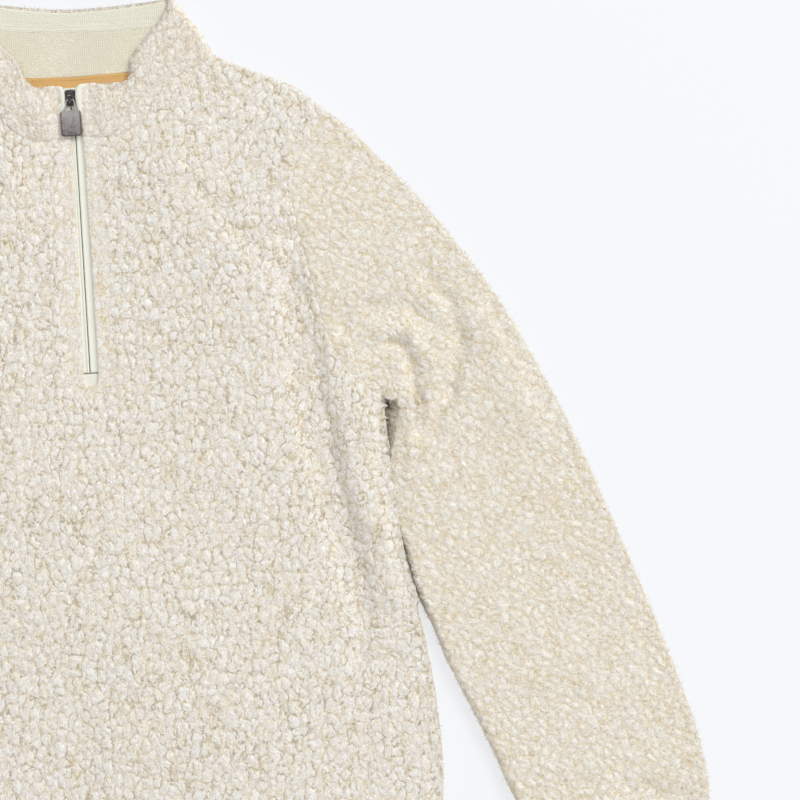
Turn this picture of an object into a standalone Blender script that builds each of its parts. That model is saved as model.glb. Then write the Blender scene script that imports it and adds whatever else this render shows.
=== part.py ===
"""Sherpa fleece quarter-zip pullover, laid flat on its back, one object for each cut piece.

The tables hold millimetres and the meshes metres. X runs across the garment to the wearer's left,
Y from hem to collar, and Z up from the surface it lies on. Outlines are drawn from the foot of the
zip, and every point is moved by ORIGIN_Y, so that the whole garment is centred on the origin.
"""

import math

import bmesh
import bpy
from mathutils import Matrix, Vector

MM = 0.001
COLLECTION = "sherpa_fleece_pullover"
ORIGIN_Y = -60.25

# Cloth and seams.
FLEECE = 5.5
SEAM_GAP = 0.3
ROUND = 3.4
SLEEVE_ROUND = 2.0
COLLAR_ROUND = 2.4
ROUND_STEPS = 2
LEVEL_SLOPE = 0.25
LINING = 1.0
TAPE = 0.9

# Levels of the layers above the surface below.
BACK_TOP = FLEECE
FRONT_BOTTOM = BACK_TOP + SEAM_GAP
FRONT_TOP = FRONT_BOTTOM + FLEECE
LINING_BOTTOM = BACK_TOP + SEAM_GAP
COLLAR_FRONT_BOTTOM = LINING_BOTTOM + LINING + SEAM_GAP
COLLAR_FRONT_TOP = COLLAR_FRONT_BOTTOM + FLEECE

# Outlines of the wearer's left half; the right half mirrors them.
HEM_CENTRE = (0.0, -412.0)
SIDE_SEAM = (  # x, y from the hem up to the armpit
    (262.0, -406.0),
    (267.5, -370.0),
    (269.5, -335.0),
    (266.0, -286.0),
    (261.0, -235.0),
    (253.5, -192.0),
    (248.0, -150.0),
    (244.0, -90.0),
    (240.0, -36.0),
)
ARMPIT = (240.0, -36.0)
SHOULDER_POINT = (203.0, 204.5)
ARMHOLE_HOLLOW = (  # share of the way up from the armpit, depth in from the straight line
    (0.0, 0.0),
    (0.08, 20.0),
    (0.23, 34.0),
    (0.46, 38.5),
    (0.70, 40.5),
    (0.80, 35.5),
    (0.87, 25.0),
    (0.94, 9.5),
    (1.0, 0.0),
)
SHOULDER_SEAM = (  # x, y from the neck out to the shoulder point
    (117.5, 252.5),
    (128.0, 247.0),
    (146.0, 239.0),
    (166.0, 230.5),
    (185.5, 220.0),
    (203.0, 204.5),
)
NECK_FRONT = (  # x, y from beside the zip out to the shoulder seam
    (6.0, 193.6),
    (32.0, 192.2),
    (46.0, 198.0),
    (58.0, 208.0),
    (68.0, 224.0),
    (84.0, 238.0),
    (103.0, 246.0),
    (117.5, 252.5),
)
NECK_BACK = (  # x, y from the middle out to the shoulder seam
    (0.0, 243.0),
    (45.0, 244.2),
    (88.0, 247.6),
    (117.5, 252.5),
)
COLLAR_TOP_LEFT = (  # x, y from beside the zip out to the side fold, wearer's left
    (4.0, 235.4),
    (12.0, 237.0),
    (38.0, 235.6),
    (46.5, 241.0),
    (48.0, 252.0),
    (54.0, 262.5),
    (65.5, 275.0),
    (77.0, 288.0),
    (84.5, 303.5),
)
COLLAR_TOP_RIGHT = (  # the same on the wearer's right, where the edge stands closer to the zip
    (8.6, 235.4),
    (18.0, 236.6),
    (29.5, 235.4),
    (38.5, 243.0),
    (43.5, 257.0),
    (57.0, 272.5),
    (75.0, 288.0),
    (84.5, 303.5),
)
COLLAR_TOP_BACK = (  # x, y from the middle out to the side fold
    (0.0, 298.8),
    (40.0, 299.2),
    (70.0, 301.4),
    (84.5, 303.5),
)
COLLAR_FOLD = (  # x, y up the side fold, from the shoulder to the top
    (117.5, 252.5),
    (108.5, 272.0),
    (97.5, 287.5),
    (84.5, 303.5),
)
ZIP_SLOT = (  # y, left edge x, right edge x
    (-12.3, 0.0, 0.0),
    (-11.2, -3.9, 4.3),
    (-8.0, -5.6, 6.2),
    (-2.0, -5.9, 6.5),
    (95.0, -4.6, 6.5),
    (180.0, -3.6, 6.0),
    (193.6, -4.2, 5.4),
    (214.0, -7.2, 3.4),
    (236.0, -8.6, 4.0),
)
SLEEVE_UNDER = (  # x, y down the underarm fold, from the armpit to the cuff
    (240.0, -36.0),
    (248.5, -43.0),
    (255.0, -58.0),
    (255.0, -84.0),
    (250.6, -112.0),
    (249.9, -150.0),
    (255.4, -192.0),
    (268.5, -231.0),
    (280.5, -262.0),
    (303.0, -313.0),
    (326.0, -371.0),
    (350.0, -424.0),
)
SLEEVE_OVER = (  # x, y down the outer fold, from the shoulder point to the cuff
    (203.0, 204.5),
    (219.0, 193.5),
    (251.0, 159.0),
    (273.0, 133.0),
    (312.0, 81.0),
    (344.0, 30.0),
    (381.0, -46.0),
    (402.5, -97.0),
    (430.5, -173.0),
    (457.0, -248.0),
    (479.5, -323.0),
    (486.5, -373.0),
    (483.0, -424.0),
)
FOLDS = (  # x0, y0, x1, y1, half width, height; troughs are below zero
    (184.0, 70.0, 180.0, 26.0, 9.0, -2.0),
    (180.0, 20.0, 203.0, -84.0, 10.0, -2.8),
    (203.0, -84.0, 224.0, -173.0, 10.0, -2.2),
    (224.0, -173.0, 230.0, -262.0, 9.0, -1.2),
    (229.0, -48.0, 236.0, -150.0, 11.0, 2.6),
    (283.0, 66.0, 309.0, -11.0, 10.0, -2.6),
    (306.0, -12.0, 268.0, -66.0, 8.0, -2.0),
    (257.0, 1.0, 271.0, -26.0, 7.0, -2.2),
    (208.0, 14.0, 240.0, 48.0, 8.0, -1.6),
    (232.0, 10.0, 262.0, 40.0, 18.0, 3.2),
    (276.0, -14.0, 288.0, -4.0, 11.0, 2.6),
    (326.0, 20.0, 356.0, -60.0, 20.0, 2.0),
    (420.0, -366.0, 478.0, -381.0, 6.0, -1.8),
    (-182.0, 60.0, -184.0, 8.0, 10.0, -2.2),
    (-184.0, 8.0, -210.0, -96.0, 10.0, -2.6),
    (-210.0, -96.0, -226.0, -206.0, 11.0, -1.8),
    (-231.0, -56.0, -238.0, -140.0, 11.0, 2.4),
    (-276.0, 78.0, -312.0, -4.0, 11.0, -2.4),
    (-300.0, -20.0, -272.0, -60.0, 9.0, -1.8),
    (-236.0, 18.0, -266.0, 32.0, 18.0, 3.0),
    (-330.0, 10.0, -350.0, -70.0, 20.0, 2.0),
    (-408.0, -362.0, -470.0, -378.0, 7.0, -1.6),
    (-60.0, 150.0, -120.0, 40.0, 30.0, 1.6),
    (70.0, 160.0, 130.0, 60.0, 34.0, 1.6),
    (-40.0, -120.0, 60.0, -300.0, 70.0, 1.8),
)
FOLD_HOLLOW = 0.6  # share of a ridge's height that the cloth's inside follows
FOLD_MARGIN = 14.0  # a fold dies away over this distance from an edge

# Grid counts. The front, the back, the sleeves and the collar share their seams' points.
SIDE_ROWS = 20
ARMHOLE_SHARES = (
    0.0, 0.04, 0.09, 0.15, 0.22, 0.30, 0.38, 0.47, 0.56, 0.65, 0.74, 0.82, 0.88, 0.94, 1.0,
)
SLOT_FOOT_ROWS = 3
SLOT_ROWS = 9
NECK_FRONT_COLUMNS = 7
NECK_BACK_COLUMNS = 6
SHOULDER_COLUMNS = 9
SLEEVE_ROWS = 26
COLLAR_ROWS = 5
FOLD_STEPS = 4

# Flattened border round the zip.
BORDER = 9.0
BORDER_FRONT_BOTTOM = FRONT_BOTTOM + TAPE + SEAM_GAP
BORDER_FRONT_TOP = 10.7
BORDER_COLLAR_BOTTOM = 8.5
BORDER_COLLAR_TOP = 11.6

# Zip.
ZIP_X = -0.5
ZIP_TOP_X = -2.7
ZIP_TAPE_TOP = 234.0
ZIP_TAPE_FOOT = -0.7
ZIP_TAPE_UNDER = 5.0
ZIP_TAPE_ROWS = 18
COIL_RISE = 0.9
COIL_HALF = 2.0
TEETH_GAP = 0.3
TAPE_LIFT = 1.4
TAPE_LIFT_FROM = 196.0
TAPE_LIFT_TO = 219.0
TAB_TOP = -1.0
TAB_FOOT = -11.9
TAB_HALF = 8.2
TAB_THICK = 1.1

# Neck tape over the back neck seam.
NECK_TAPE_FOOT = 230.6
NECK_TAPE_THICK = 0.7
NECK_TAPE_END_X = 88.0

# Slider and pull. The pull hangs on a wire eye that passes under the slider's bridge.
HINGE_Y = 223.6
HINGE_Z = 11.4
WIRE = 1.3
SLIDER_TOP_Y = 232.2
SLIDER_FOOT_Y = 219.0
SLIDER_WIDE = 9.6
SLIDER_NARROW = 7.4
SLIDER_PLATE = 1.3
SLIDER_UPPER_Z = 8.5
SLIDER_LOWER_Z = 5.95
SLIDER_LOWER_PLATE = 0.85
SLIDER_LOWER_TOP_Y = 230.2
POST_HALF = 0.9
BRIDGE_HALF = 1.2
BRIDGE_REACH = 3.6
BRIDGE_THICK = 1.1
BRIDGE_STEPS = 6
PLATE_WIDE = 16.8
PLATE_TOP_Y = 214.6
PLATE_FOOT_Y = 193.6
PLATE_THICK = 1.7
PLATE_Z = 12.3
PLATE_CORNER = 2.2
EYE_TOP_HALF = 2.9
EYE_FOOT_HALF = 4.9

MATERIALS = {  # base colour, roughness, metallic
    "fleece": ((0.80, 0.73, 0.62), 0.95, 0.0),
    "lining_knit": ((0.74, 0.70, 0.55), 0.85, 0.0),
    "mustard_tape": ((0.64, 0.37, 0.15), 0.8, 0.0),
    "zip_tape": ((0.86, 0.84, 0.72), 0.8, 0.0),
    "gunmetal": ((0.16, 0.15, 0.15), 0.38, 0.9),
}


# ---------------------------------------------------------------- curves and grids


def smooth_path(rows, steps=10):
    """A dense line through the rows, as a Catmull-Rom curve."""
    points = [Vector(row) for row in rows]
    ends = [2 * points[0] - points[1], *points, 2 * points[-1] - points[-2]]
    line = []
    for i in range(1, len(ends) - 2):
        before, start, stop, after = ends[i - 1 : i + 3]
        for step in range(steps):
            t = step / steps
            line.append(
                0.5
                * (
                    2 * start
                    + (stop - before) * t
                    + (2 * before - 5 * start + 4 * stop - after) * t**2
                    + (3 * start - before - 3 * stop + after) * t**3
                )
            )
    line.append(points[-1])
    return line


def along(line, share):
    """The point at a share of the line's length."""
    lengths = [(b - a).length for a, b in zip(line, line[1:])]
    left = share * sum(lengths)
    for start, stop, length in zip(line, line[1:], lengths):
        if left <= length:
            return start.lerp(stop, left / length)
        left -= length
    return line[-1].copy()


def spaced(rows, count):
    """count + 1 points evenly spaced on the curve through the rows."""
    line = smooth_path(rows)
    return [along(line, i / count) for i in range(count + 1)]


def spaced_from_border(rows, count):
    """Points like spaced(), but the first step is the width of the zip's border."""
    line = smooth_path(rows)
    first = BORDER / sum((b - a).length for a, b in zip(line, line[1:]))
    return [line[0]] + [along(line, mix(first, 1.0, i / (count - 1))) for i in range(count)]


def shares(line):
    """Each point's share of the line's length."""
    total = [0.0]
    for start, stop in zip(line, line[1:]):
        total.append(total[-1] + (stop - start).length)
    return [value / total[-1] for value in total]


def read_table(rows, key, column):
    """The value of a column at a key, between the rows on either side of it."""
    for low, high in zip(rows, rows[1:]):
        if key <= high[0]:
            share = max(0.0, (key - low[0]) / (high[0] - low[0]))
            return low[column] + share * (high[column] - low[column])
    return rows[-1][column]


def patch(left, right, bottom, top):
    """A grid of points between four lines that share their corners, row by row from the bottom."""
    ups = [(a + b) / 2 for a, b in zip(shares(left), shares(right))]
    acrosses = [(a + b) / 2 for a, b in zip(shares(bottom), shares(top))]
    grid = []
    for row, v in enumerate(ups):
        line = []
        for column, u in enumerate(acrosses):
            ruled = left[row].lerp(right[row], u) + bottom[column].lerp(top[column], v)
            corners = bottom[0].lerp(bottom[-1], u).lerp(top[0].lerp(top[-1], u), v)
            line.append(ruled - corners)
        grid.append(line)
    return grid


def mirrored(line):
    """The line on the garment's other side."""
    return [Vector((-point.x, point.y)) for point in line]


def moved_left(line, distance):
    """The line moved to the left of its own direction."""
    out = []
    for i, point in enumerate(line):
        ahead = (line[min(i + 1, len(line) - 1)] - line[max(i - 1, 0)]).normalized()
        out.append(point + distance * Vector((-ahead.y, ahead.x)))
    return out


def ease(value):
    """0 below 0, 1 above 1 and a smooth rise between."""
    value = min(1.0, max(0.0, value))
    return value * value * (3 - 2 * value)


# ---------------------------------------------------------------- the garment's lines and levels


def armhole():
    """The armhole seam from the armpit up to the shoulder point."""
    low, high = Vector(ARMPIT), Vector(SHOULDER_POINT)
    return bowed(low, high, [hollow_at(share) for share in ARMHOLE_SHARES])


def hollow_at(share):
    """How far the armhole lies in from its straight line at a share of the way up."""
    line = smooth_path(ARMHOLE_HOLLOW)
    for low, high in zip(line, line[1:]):
        if share <= high.x:
            part = (share - low.x) / max(high.x - low.x, 1e-9)
            return max(0.0, low.y + part * (high.y - low.y))
    return 0.0


def bowed(low, high, hollows):
    """Points from low to high, each moved towards the body by its hollow."""
    way = (high - low).normalized()
    inward = Vector((-way.y, way.x))
    return [low.lerp(high, v) + h * inward for v, h in zip(ARMHOLE_SHARES, hollows)]


def slot_edge(y, side):
    """The x of the zip slot's edge on one side of it."""
    return read_table(ZIP_SLOT, y, 2 if side > 0 else 1)


def zip_line(y):
    """The x where the two tapes meet."""
    lean = ease((y - TAPE_LIFT_FROM) / (TAPE_LIFT_TO - TAPE_LIFT_FROM))
    return ZIP_X + lean * (ZIP_TOP_X - ZIP_X)


def tape_level(y):
    """The zip tape's underside, which rises to the collar."""
    lift = ease((y - TAPE_LIFT_FROM) / (TAPE_LIFT_TO - TAPE_LIFT_FROM))
    return FRONT_BOTTOM + TAPE_LIFT * lift


def folds(x, y):
    """The height of the cloth's folds over a point."""
    spot = Vector((x, y))
    total = 0.0
    for x0, y0, x1, y1, half, height in FOLDS:
        start, stop = Vector((x0, y0)), Vector((x1, y1))
        way = stop - start
        share = min(1.0, max(0.0, (spot - start).dot(way) / way.length_squared))
        total += height * math.exp(-(((spot - start.lerp(stop, share)).length / half) ** 2))
    return total


def near_slot(x, y):
    """1 beside the zip slot, falling to 0 past its flattened border."""
    edge = slot_edge(max(y, ZIP_SLOT[1][0]), 1 if x > 0 else -1)
    across = max(0.0, abs(x) - abs(edge)) if x * edge > 0 else 0.0
    below = max(0.0, ZIP_SLOT[0][0] - y)
    return ease(2.0 - math.hypot(across, below) / BORDER)


def mix(low, high, share):
    return low + share * (high - low)


def front_levels(x, y):
    """The front's top and underside at a point."""
    fold = folds(x, y)
    slot = near_slot(x, y)
    top = mix(FRONT_TOP + fold, BORDER_FRONT_TOP, slot)
    bottom = mix(FRONT_BOTTOM + FOLD_HOLLOW * max(0.0, fold), BORDER_FRONT_BOTTOM, slot)
    return top, bottom


# ---------------------------------------------------------------- objects and materials


def clear_scene():
    for obj in list(bpy.data.objects):
        bpy.data.objects.remove(obj, do_unlink=True)


def new_collection(name, is_helper=False):
    collection = bpy.data.collections.new(name)
    collection.hide_render = is_helper
    bpy.context.scene.collection.children.link(collection)
    return collection


def make_material(name):
    colour, roughness, metallic = MATERIALS[name]
    material = bpy.data.materials.new(name)
    material.use_nodes = True
    shader = material.node_tree.nodes["Principled BSDF"]
    shader.inputs["Base Color"].default_value = (*colour, 1.0)
    shader.inputs["Roughness"].default_value = roughness
    shader.inputs["Metallic"].default_value = metallic
    material.diffuse_color = (*colour, 1.0)
    return material


def place(bm):
    """Turn the drawing's millimetres into metres about the garment's origin."""
    bmesh.ops.translate(bm, verts=bm.verts, vec=(0.0, -ORIGIN_Y, 0.0))
    bmesh.ops.scale(bm, verts=bm.verts, vec=(MM, MM, MM))


def add_object(name, bm, material, collection):
    place(bm)
    mesh = bpy.data.meshes.new(name)
    bm.to_mesh(mesh)
    bm.free()
    mesh.materials.append(material)
    obj = bpy.data.objects.new(name, mesh)
    collection.objects.link(obj)
    return obj


def smooth(obj):
    obj.data.shade_smooth()
    obj.data.set_sharp_from_angle(angle=math.radians(40))


def round_marked_edges(obj, width=ROUND, is_clamped=False):
    """Round the edges that carry a bevel weight."""
    bevel = obj.modifiers.new("rounded_edge", "BEVEL")
    bevel.limit_method = "WEIGHT"
    bevel.width = width * MM
    bevel.segments = ROUND_STEPS
    bevel.use_clamp_overlap = is_clamped
    smooth(obj)


class Shell:
    """A wall of cloth: faces over outer points, the same faces under inner ones, and its rims."""

    def __init__(self):
        self.bm = bmesh.new()
        self.weight = self.bm.edges.layers.float.new("bevel_weight_edge")
        self.pairs = {}

    def point(self, outer, inner):
        """A pair of points through the wall, made once for each place."""
        key = tuple(round(value, 2) for value in (*outer, *inner))
        if key not in self.pairs:
            self.pairs[key] = (self.bm.verts.new(outer), self.bm.verts.new(inner))
        return self.pairs[key]

    def grid(self, rows, turned=False, is_ring=False):
        """Faces between rows of pairs. A turned grid faces the other way."""
        for low, high in zip(rows, rows[1:]):
            last = len(low) if is_ring else len(low) - 1
            for i in range(last):
                j = (i + 1) % len(low)
                corners = [low[i], low[j], high[j], high[i]]
                if turned:
                    corners.reverse()
                self.bm.faces.new([pair[0] for pair in corners])
                self.bm.faces.new([pair[1] for pair in reversed(corners)])

    def close(self, rounded=lambda start, stop: False):
        """Walls at the rims. Outer rim edges for which rounded() is true get a bevel weight."""
        partner = {}
        for outer, inner in self.pairs.values():
            partner[outer] = inner
        for edge in [edge for edge in self.bm.edges if edge.is_boundary]:
            if edge.verts[0] not in partner:
                continue
            face = edge.link_faces[0]
            start, stop = edge.verts
            for loop in face.loops:
                if loop.edge == edge:
                    start, stop = loop.vert, loop.link_loop_next.vert
            self.bm.faces.new([stop, start, partner[start], partner[stop]])
            if rounded(start.co, stop.co):
                edge[self.weight] = 1.0


# ---------------------------------------------------------------- fleece pieces


def half_panel(side, neck, centre):
    """The flat grid of half a panel, and its outline's armhole, on one side of the middle."""
    side_seam = spaced(SIDE_SEAM, SIDE_ROWS)
    outer = side_seam + armhole()[1:]
    shoulder = spaced(SHOULDER_SEAM, SHOULDER_COLUMNS)
    columns = len(neck) - 1 + SHOULDER_COLUMNS
    hem = spaced_from_border([HEM_CENTRE, tuple(side_seam[0])], columns)
    if side < 0:
        outer, shoulder, hem = mirrored(outer), mirrored(shoulder), mirrored(hem)
    return patch(centre, outer, hem, neck + shoulder[1:])


def neck_front(side):
    """The front neck seam on one side, from the slot's edge to the shoulder seam."""
    rows = [(slot_edge(NECK_FRONT[0][1], side) * side, NECK_FRONT[0][1]), *NECK_FRONT[1:]]
    line = spaced_from_border(rows, NECK_FRONT_COLUMNS)
    return line if side > 0 else mirrored(line)


def neck_back(side):
    line = spaced_from_border(NECK_BACK, NECK_BACK_COLUMNS)
    return line if side > 0 else mirrored(line)


def front_centre(side):
    """The front's middle line: plain up to the zip, then the slot's edge."""
    foot, top = ZIP_SLOT[0][0], NECK_FRONT[0][1]
    rows = SIDE_ROWS + len(ARMHOLE_SHARES) - 1 - SLOT_FOOT_ROWS - SLOT_ROWS
    line = [Vector((0.0, mix(HEM_CENTRE[1], foot, i / rows))) for i in range(rows + 1)]
    for y, _, _ in ZIP_SLOT[1 : SLOT_FOOT_ROWS + 1]:
        line.append(Vector((slot_edge(y, side), y)))
    start = ZIP_SLOT[SLOT_FOOT_ROWS][0]
    for i in range(1, SLOT_ROWS + 1):
        y = mix(start, top, i / SLOT_ROWS)
        line.append(Vector((slot_edge(y, side), y)))
    return line


def back_centre():
    rows = SIDE_ROWS + len(ARMHOLE_SHARES) - 1
    top = NECK_BACK[0][1]
    return [Vector((0.0, mix(HEM_CENTRE[1], top, i / rows))) for i in range(rows + 1)]


def is_outside_slot(start, stop):
    """True for an edge of the panel's outline, away from the zip slot's edges."""
    point = (start + stop) / 2
    beside = abs(point.x - slot_edge(point.y, 1 if point.x > 0 else -1)) > 1.0
    return beside or point.y < ZIP_SLOT[0][0] - 1.0


def is_level(start, stop):
    """True for an edge along a tube's top or underside, and not round its side folds."""
    return abs(stop.z - start.z) < LEVEL_SLOPE * (stop - start).length


def make_front(material, collection):
    shell = Shell()
    for side in (1, -1):
        rows = []
        for line in half_panel(side, neck_front(side), front_centre(side)):
            pairs = []
            for spot in line:
                top, bottom = front_levels(spot.x, spot.y)
                pairs.append(shell.point((*spot, top), (*spot, bottom)))
            rows.append(pairs)
        shell.grid(rows, turned=side < 0)
    shell.close(is_outside_slot)
    obj = add_object("front", shell.bm, material, collection)
    round_marked_edges(obj)
    return obj


def make_back(material, collection):
    shell = Shell()
    for side in (1, -1):
        rows = []
        for line in half_panel(side, neck_back(side), back_centre()):
            rows.append([shell.point((*spot, 0.0), (*spot, BACK_TOP)) for spot in line])
        shell.grid(rows, turned=side > 0)
    shell.close(lambda start, stop: True)
    obj = add_object("back", shell.bm, material, collection)
    round_marked_edges(obj)
    return obj


def fold_fade(share, down):
    """How fast the armhole's hollow dies away down the sleeve, quickest near the armpit."""
    reach = 0.07 + 0.5 * ease(share / 0.3)
    return math.exp(-down / reach) * (1.0 - down)


def flat_ring(line, radius, middle, inset, level=lambda point, z: z):
    """A closed flattened ring over an open line: top, outer fold, underside, inner fold."""
    first = (line[0] - line[1]).normalized()
    last = (line[-1] - line[-2]).normalized()
    path = [line[0] - inset * first, *line[1:-1], line[-1] - inset * last]
    ring = [Vector((*spot, level(spot, middle + radius))) for spot in path]
    for i in range(1, FOLD_STEPS):
        angle = math.pi * i / FOLD_STEPS
        spot = path[-1] + radius * math.sin(angle) * last
        ring.append(Vector((*spot, middle + radius * math.cos(angle))))
    ring += [Vector((*spot, middle - radius)) for spot in reversed(path)]
    for i in range(1, FOLD_STEPS):
        angle = math.pi * i / FOLD_STEPS
        spot = path[0] + radius * math.sin(angle) * first
        ring.append(Vector((*spot, middle - radius * math.cos(angle))))
    return ring


def sleeve_line(down):
    """The line across the sleeve at a share of the way down, from the underarm to the outer fold."""
    low = along(smooth_path(SLEEVE_UNDER), down)
    high = along(smooth_path(SLEEVE_OVER), down)
    hollows = [hollow_at(v) * fold_fade(v, down) for v in ARMHOLE_SHARES]
    return bowed(low, high, hollows)


def make_sleeve(name, side, material, collection):
    outer_radius = FRONT_TOP / 2
    inner_radius = SEAM_GAP / 2
    shell = Shell()
    rows = []
    for i in range(SLEEVE_ROWS + 1):
        down = (i / SLEEVE_ROWS) ** 1.25
        line = sleeve_line(down)
        if i == 0:
            line = moved_left(line, -SEAM_GAP)
            line[0] += Vector((SEAM_GAP, 0.0))
        ends = (line[0], line[-1])

        def raised(spot, z, share):
            edge = min((spot - end).length for end in ends)
            fold = folds(side * spot.x, spot.y)
            return z + share * (fold if share == 1.0 else max(0.0, fold)) * ease(edge / FOLD_MARGIN)

        outer = flat_ring(
            line, outer_radius, outer_radius, outer_radius, lambda p, z: raised(p, z, 1.0)
        )
        inner = flat_ring(
            line, inner_radius, outer_radius, outer_radius, lambda p, z: raised(p, z, FOLD_HOLLOW)
        )
        flip = Vector((side, 1.0, 1.0))
        rows.append([shell.point(a * flip, b * flip) for a, b in zip(outer, inner)])
    shell.grid(rows, turned=side > 0, is_ring=True)
    shell.close(is_level)
    obj = add_object(name, shell.bm, material, collection)
    round_marked_edges(obj, SLEEVE_ROUND, is_clamped=True)
    return obj


def collar_half(side):
    """Grids of half the collar, front and back, row by row from the neck seam to the top edge."""
    neck = moved_left([Vector((side * p.x, p.y)) for p in neck_front(side)], SEAM_GAP)
    front_edge = COLLAR_TOP_LEFT if side > 0 else COLLAR_TOP_RIGHT
    foot, head = NECK_FRONT[0][1] + SEAM_GAP, front_edge[0][1]
    heights = [mix(foot, head, i / COLLAR_ROWS) for i in range(COLLAR_ROWS + 1)]
    slot = [Vector((side * slot_edge(y, side), y)) for y in heights]
    neck[0] = slot[0].copy()
    top = spaced_from_border([tuple(slot[-1]), *front_edge[1:]], NECK_FRONT_COLUMNS)
    fold = spaced(COLLAR_FOLD, COLLAR_ROWS)
    fold[0] = neck[-1].copy()
    front = patch(slot, fold, neck, top)
    back_neck = moved_left([Vector((side * p.x, p.y)) for p in neck_back(side)], SEAM_GAP)
    back_neck[0].x = 0.0
    back_neck[-1] = neck[-1].copy()
    back_top = spaced_from_border(COLLAR_TOP_BACK, NECK_BACK_COLUMNS)
    middle = [back_neck[0].lerp(back_top[0], i / COLLAR_ROWS) for i in range(COLLAR_ROWS + 1)]
    back = patch(middle, fold, back_neck, back_top)
    return front, back


def collar_ring(front, back, radius, height):
    """Half a ring of the collar: along the front, round the side fold and along the back."""
    middle = COLLAR_FRONT_TOP / 2
    inset = middle
    ahead = (front[-1] - front[-2]).normalized()
    behind = (back[-1] - back[-2]).normalized()
    ring = [Vector((*spot, middle + radius + height(spot))) for spot in front[:-1]]
    turn_front = front[-1] - inset * ahead
    turn_back = back[-1] - inset * behind
    ring.append(Vector((*turn_front, middle + radius)))
    for i in range(1, FOLD_STEPS):
        angle = math.pi * i / FOLD_STEPS
        turn, way = (turn_front, ahead) if 2 * i < FOLD_STEPS else (turn_back, behind)
        spot = turn + radius * math.sin(angle) * way
        ring.append(Vector((*spot, middle + radius * math.cos(angle))))
    ring.append(Vector((*turn_back, middle - radius)))
    ring += [Vector((*spot, middle - radius)) for spot in reversed(back[:-1])]
    return ring


def make_collar(material, collection):
    outer_radius = COLLAR_FRONT_TOP / 2
    inner_radius = outer_radius - FLEECE
    shell = Shell()
    for side in (1, -1):
        flip = Vector((side, 1.0, 1.0))
        rows = []
        front, back = collar_half(side)
        for i in range(COLLAR_ROWS + 1):
            crown = 1.4 * math.sin(math.pi * i / COLLAR_ROWS)

            def top(spot, crown=crown):
                slot = near_slot(side * spot.x, spot.y)
                return mix(crown, BORDER_COLLAR_TOP - COLLAR_FRONT_TOP, slot)

            def under(spot):
                slot = near_slot(side * spot.x, spot.y)
                return slot * (BORDER_COLLAR_BOTTOM - COLLAR_FRONT_BOTTOM)

            outer = collar_ring(front[i], back[i], outer_radius, top)
            inner = collar_ring(front[i], back[i], inner_radius, under)
            rows.append([shell.point(a * flip, b * flip) for a, b in zip(outer, inner)])
        shell.grid(rows, turned=side < 0)
    shell.close(lambda start, stop: is_outside_slot(start, stop) and is_level(start, stop))
    obj = add_object("collar", shell.bm, material, collection)
    round_marked_edges(obj, COLLAR_ROUND)
    return obj


# ---------------------------------------------------------------- lining, tapes and tab


def strip(rows, bottoms, tops, turned=False):
    """A wall over a grid of flat points, with a level for each side of it."""
    shell = Shell()
    pairs = []
    for row, low, high in zip(rows, bottoms, tops):
        pairs.append(
            [shell.point((*spot, b), (*spot, a)) for spot, a, b in zip(row, low, high)]
        )
    shell.grid(pairs, turned=turned)
    shell.close()
    return shell.bm


def full_back_rows(inset_side, low_gap, high_gap):
    """The back collar's rows from side fold to side fold, pulled in from its edges."""
    _, back = collar_half(1)
    rows = []
    for i, row in enumerate(back):
        way = (row[-1] - row[-2]).normalized()
        half = [*row[:-1], row[-1] - inset_side * way]
        lift = mix(low_gap, -high_gap, i / COLLAR_ROWS)
        half = [spot + Vector((0.0, lift)) for spot in half]
        rows.append([*mirrored(half[:0:-1]), *half])
    return rows


def make_lining(material, collection):
    inset = COLLAR_FRONT_TOP / 2 + 0.4
    rows = full_back_rows(inset, 0.3, 1.2)
    low = [[LINING_BOTTOM] * len(row) for row in rows]
    high = [[LINING_BOTTOM + LINING] * len(row) for row in rows]
    bm = strip(rows, low, high)
    return add_object("collar_lining", bm, material, collection)


def make_neck_tape(material, collection):
    top = [spot for spot in full_back_rows(COLLAR_FRONT_TOP / 2 + 0.4, 0.0, 0.0)[0]]
    top = [Vector((spot.x, spot.y - SEAM_GAP)) for spot in top if abs(spot.x) < NECK_TAPE_END_X]
    width = top[len(top) // 2].y - NECK_TAPE_FOOT
    foot = [spot - Vector((0.0, width)) for spot in top]
    rows = [foot, top]
    low = [[LINING_BOTTOM] * len(row) for row in rows]
    high = [[LINING_BOTTOM + NECK_TAPE_THICK] * len(row) for row in rows]
    bm = strip(rows, low, high)
    return add_object("neck_tape", bm, material, collection)


def make_zip_tape(name, side, material, collection):
    """One tape, from under the fleece's edge to the coil at the middle line."""
    rows, low, high = [], [], []
    for i in range(ZIP_TAPE_ROWS + 1):
        y = mix(ZIP_TAPE_FOOT, ZIP_TAPE_TOP, i / ZIP_TAPE_ROWS)
        slider = ease((y - SLIDER_FOOT_Y + 6.0) / 5.0)
        part = mix(TEETH_GAP / 2, POST_HALF + SEAM_GAP, slider)
        meet = zip_line(y) + side * part
        edge = slot_edge(y, side)
        level = tape_level(y)
        coil = COIL_RISE * (1.0 - slider)
        xs = [edge + side * ZIP_TAPE_UNDER, edge, meet + side * COIL_HALF, meet + side * 0.4, meet]
        rows.append([Vector((x, y)) for x in xs])
        low.append([level] * len(xs))
        high.append([level + TAPE + rise for rise in (0.0, 0.0, 0.2 * coil, coil, 0.8 * coil)])
    bm = strip(rows, low, high, turned=side > 0)
    return add_object(name, bm, material, collection)


def prism(outline, low, high):
    """A solid over a flat outline, from one level to another."""
    bm = bmesh.new()
    face = bm.faces.new([bm.verts.new((x, y, low)) for x, y in outline])
    made = bmesh.ops.extrude_face_region(bm, geom=[face])["geom"]
    top = [item for item in made if isinstance(item, bmesh.types.BMVert)]
    bmesh.ops.translate(bm, verts=top, vec=(0.0, 0.0, high - low))
    bmesh.ops.recalc_face_normals(bm, faces=bm.faces)
    return bm


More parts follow.
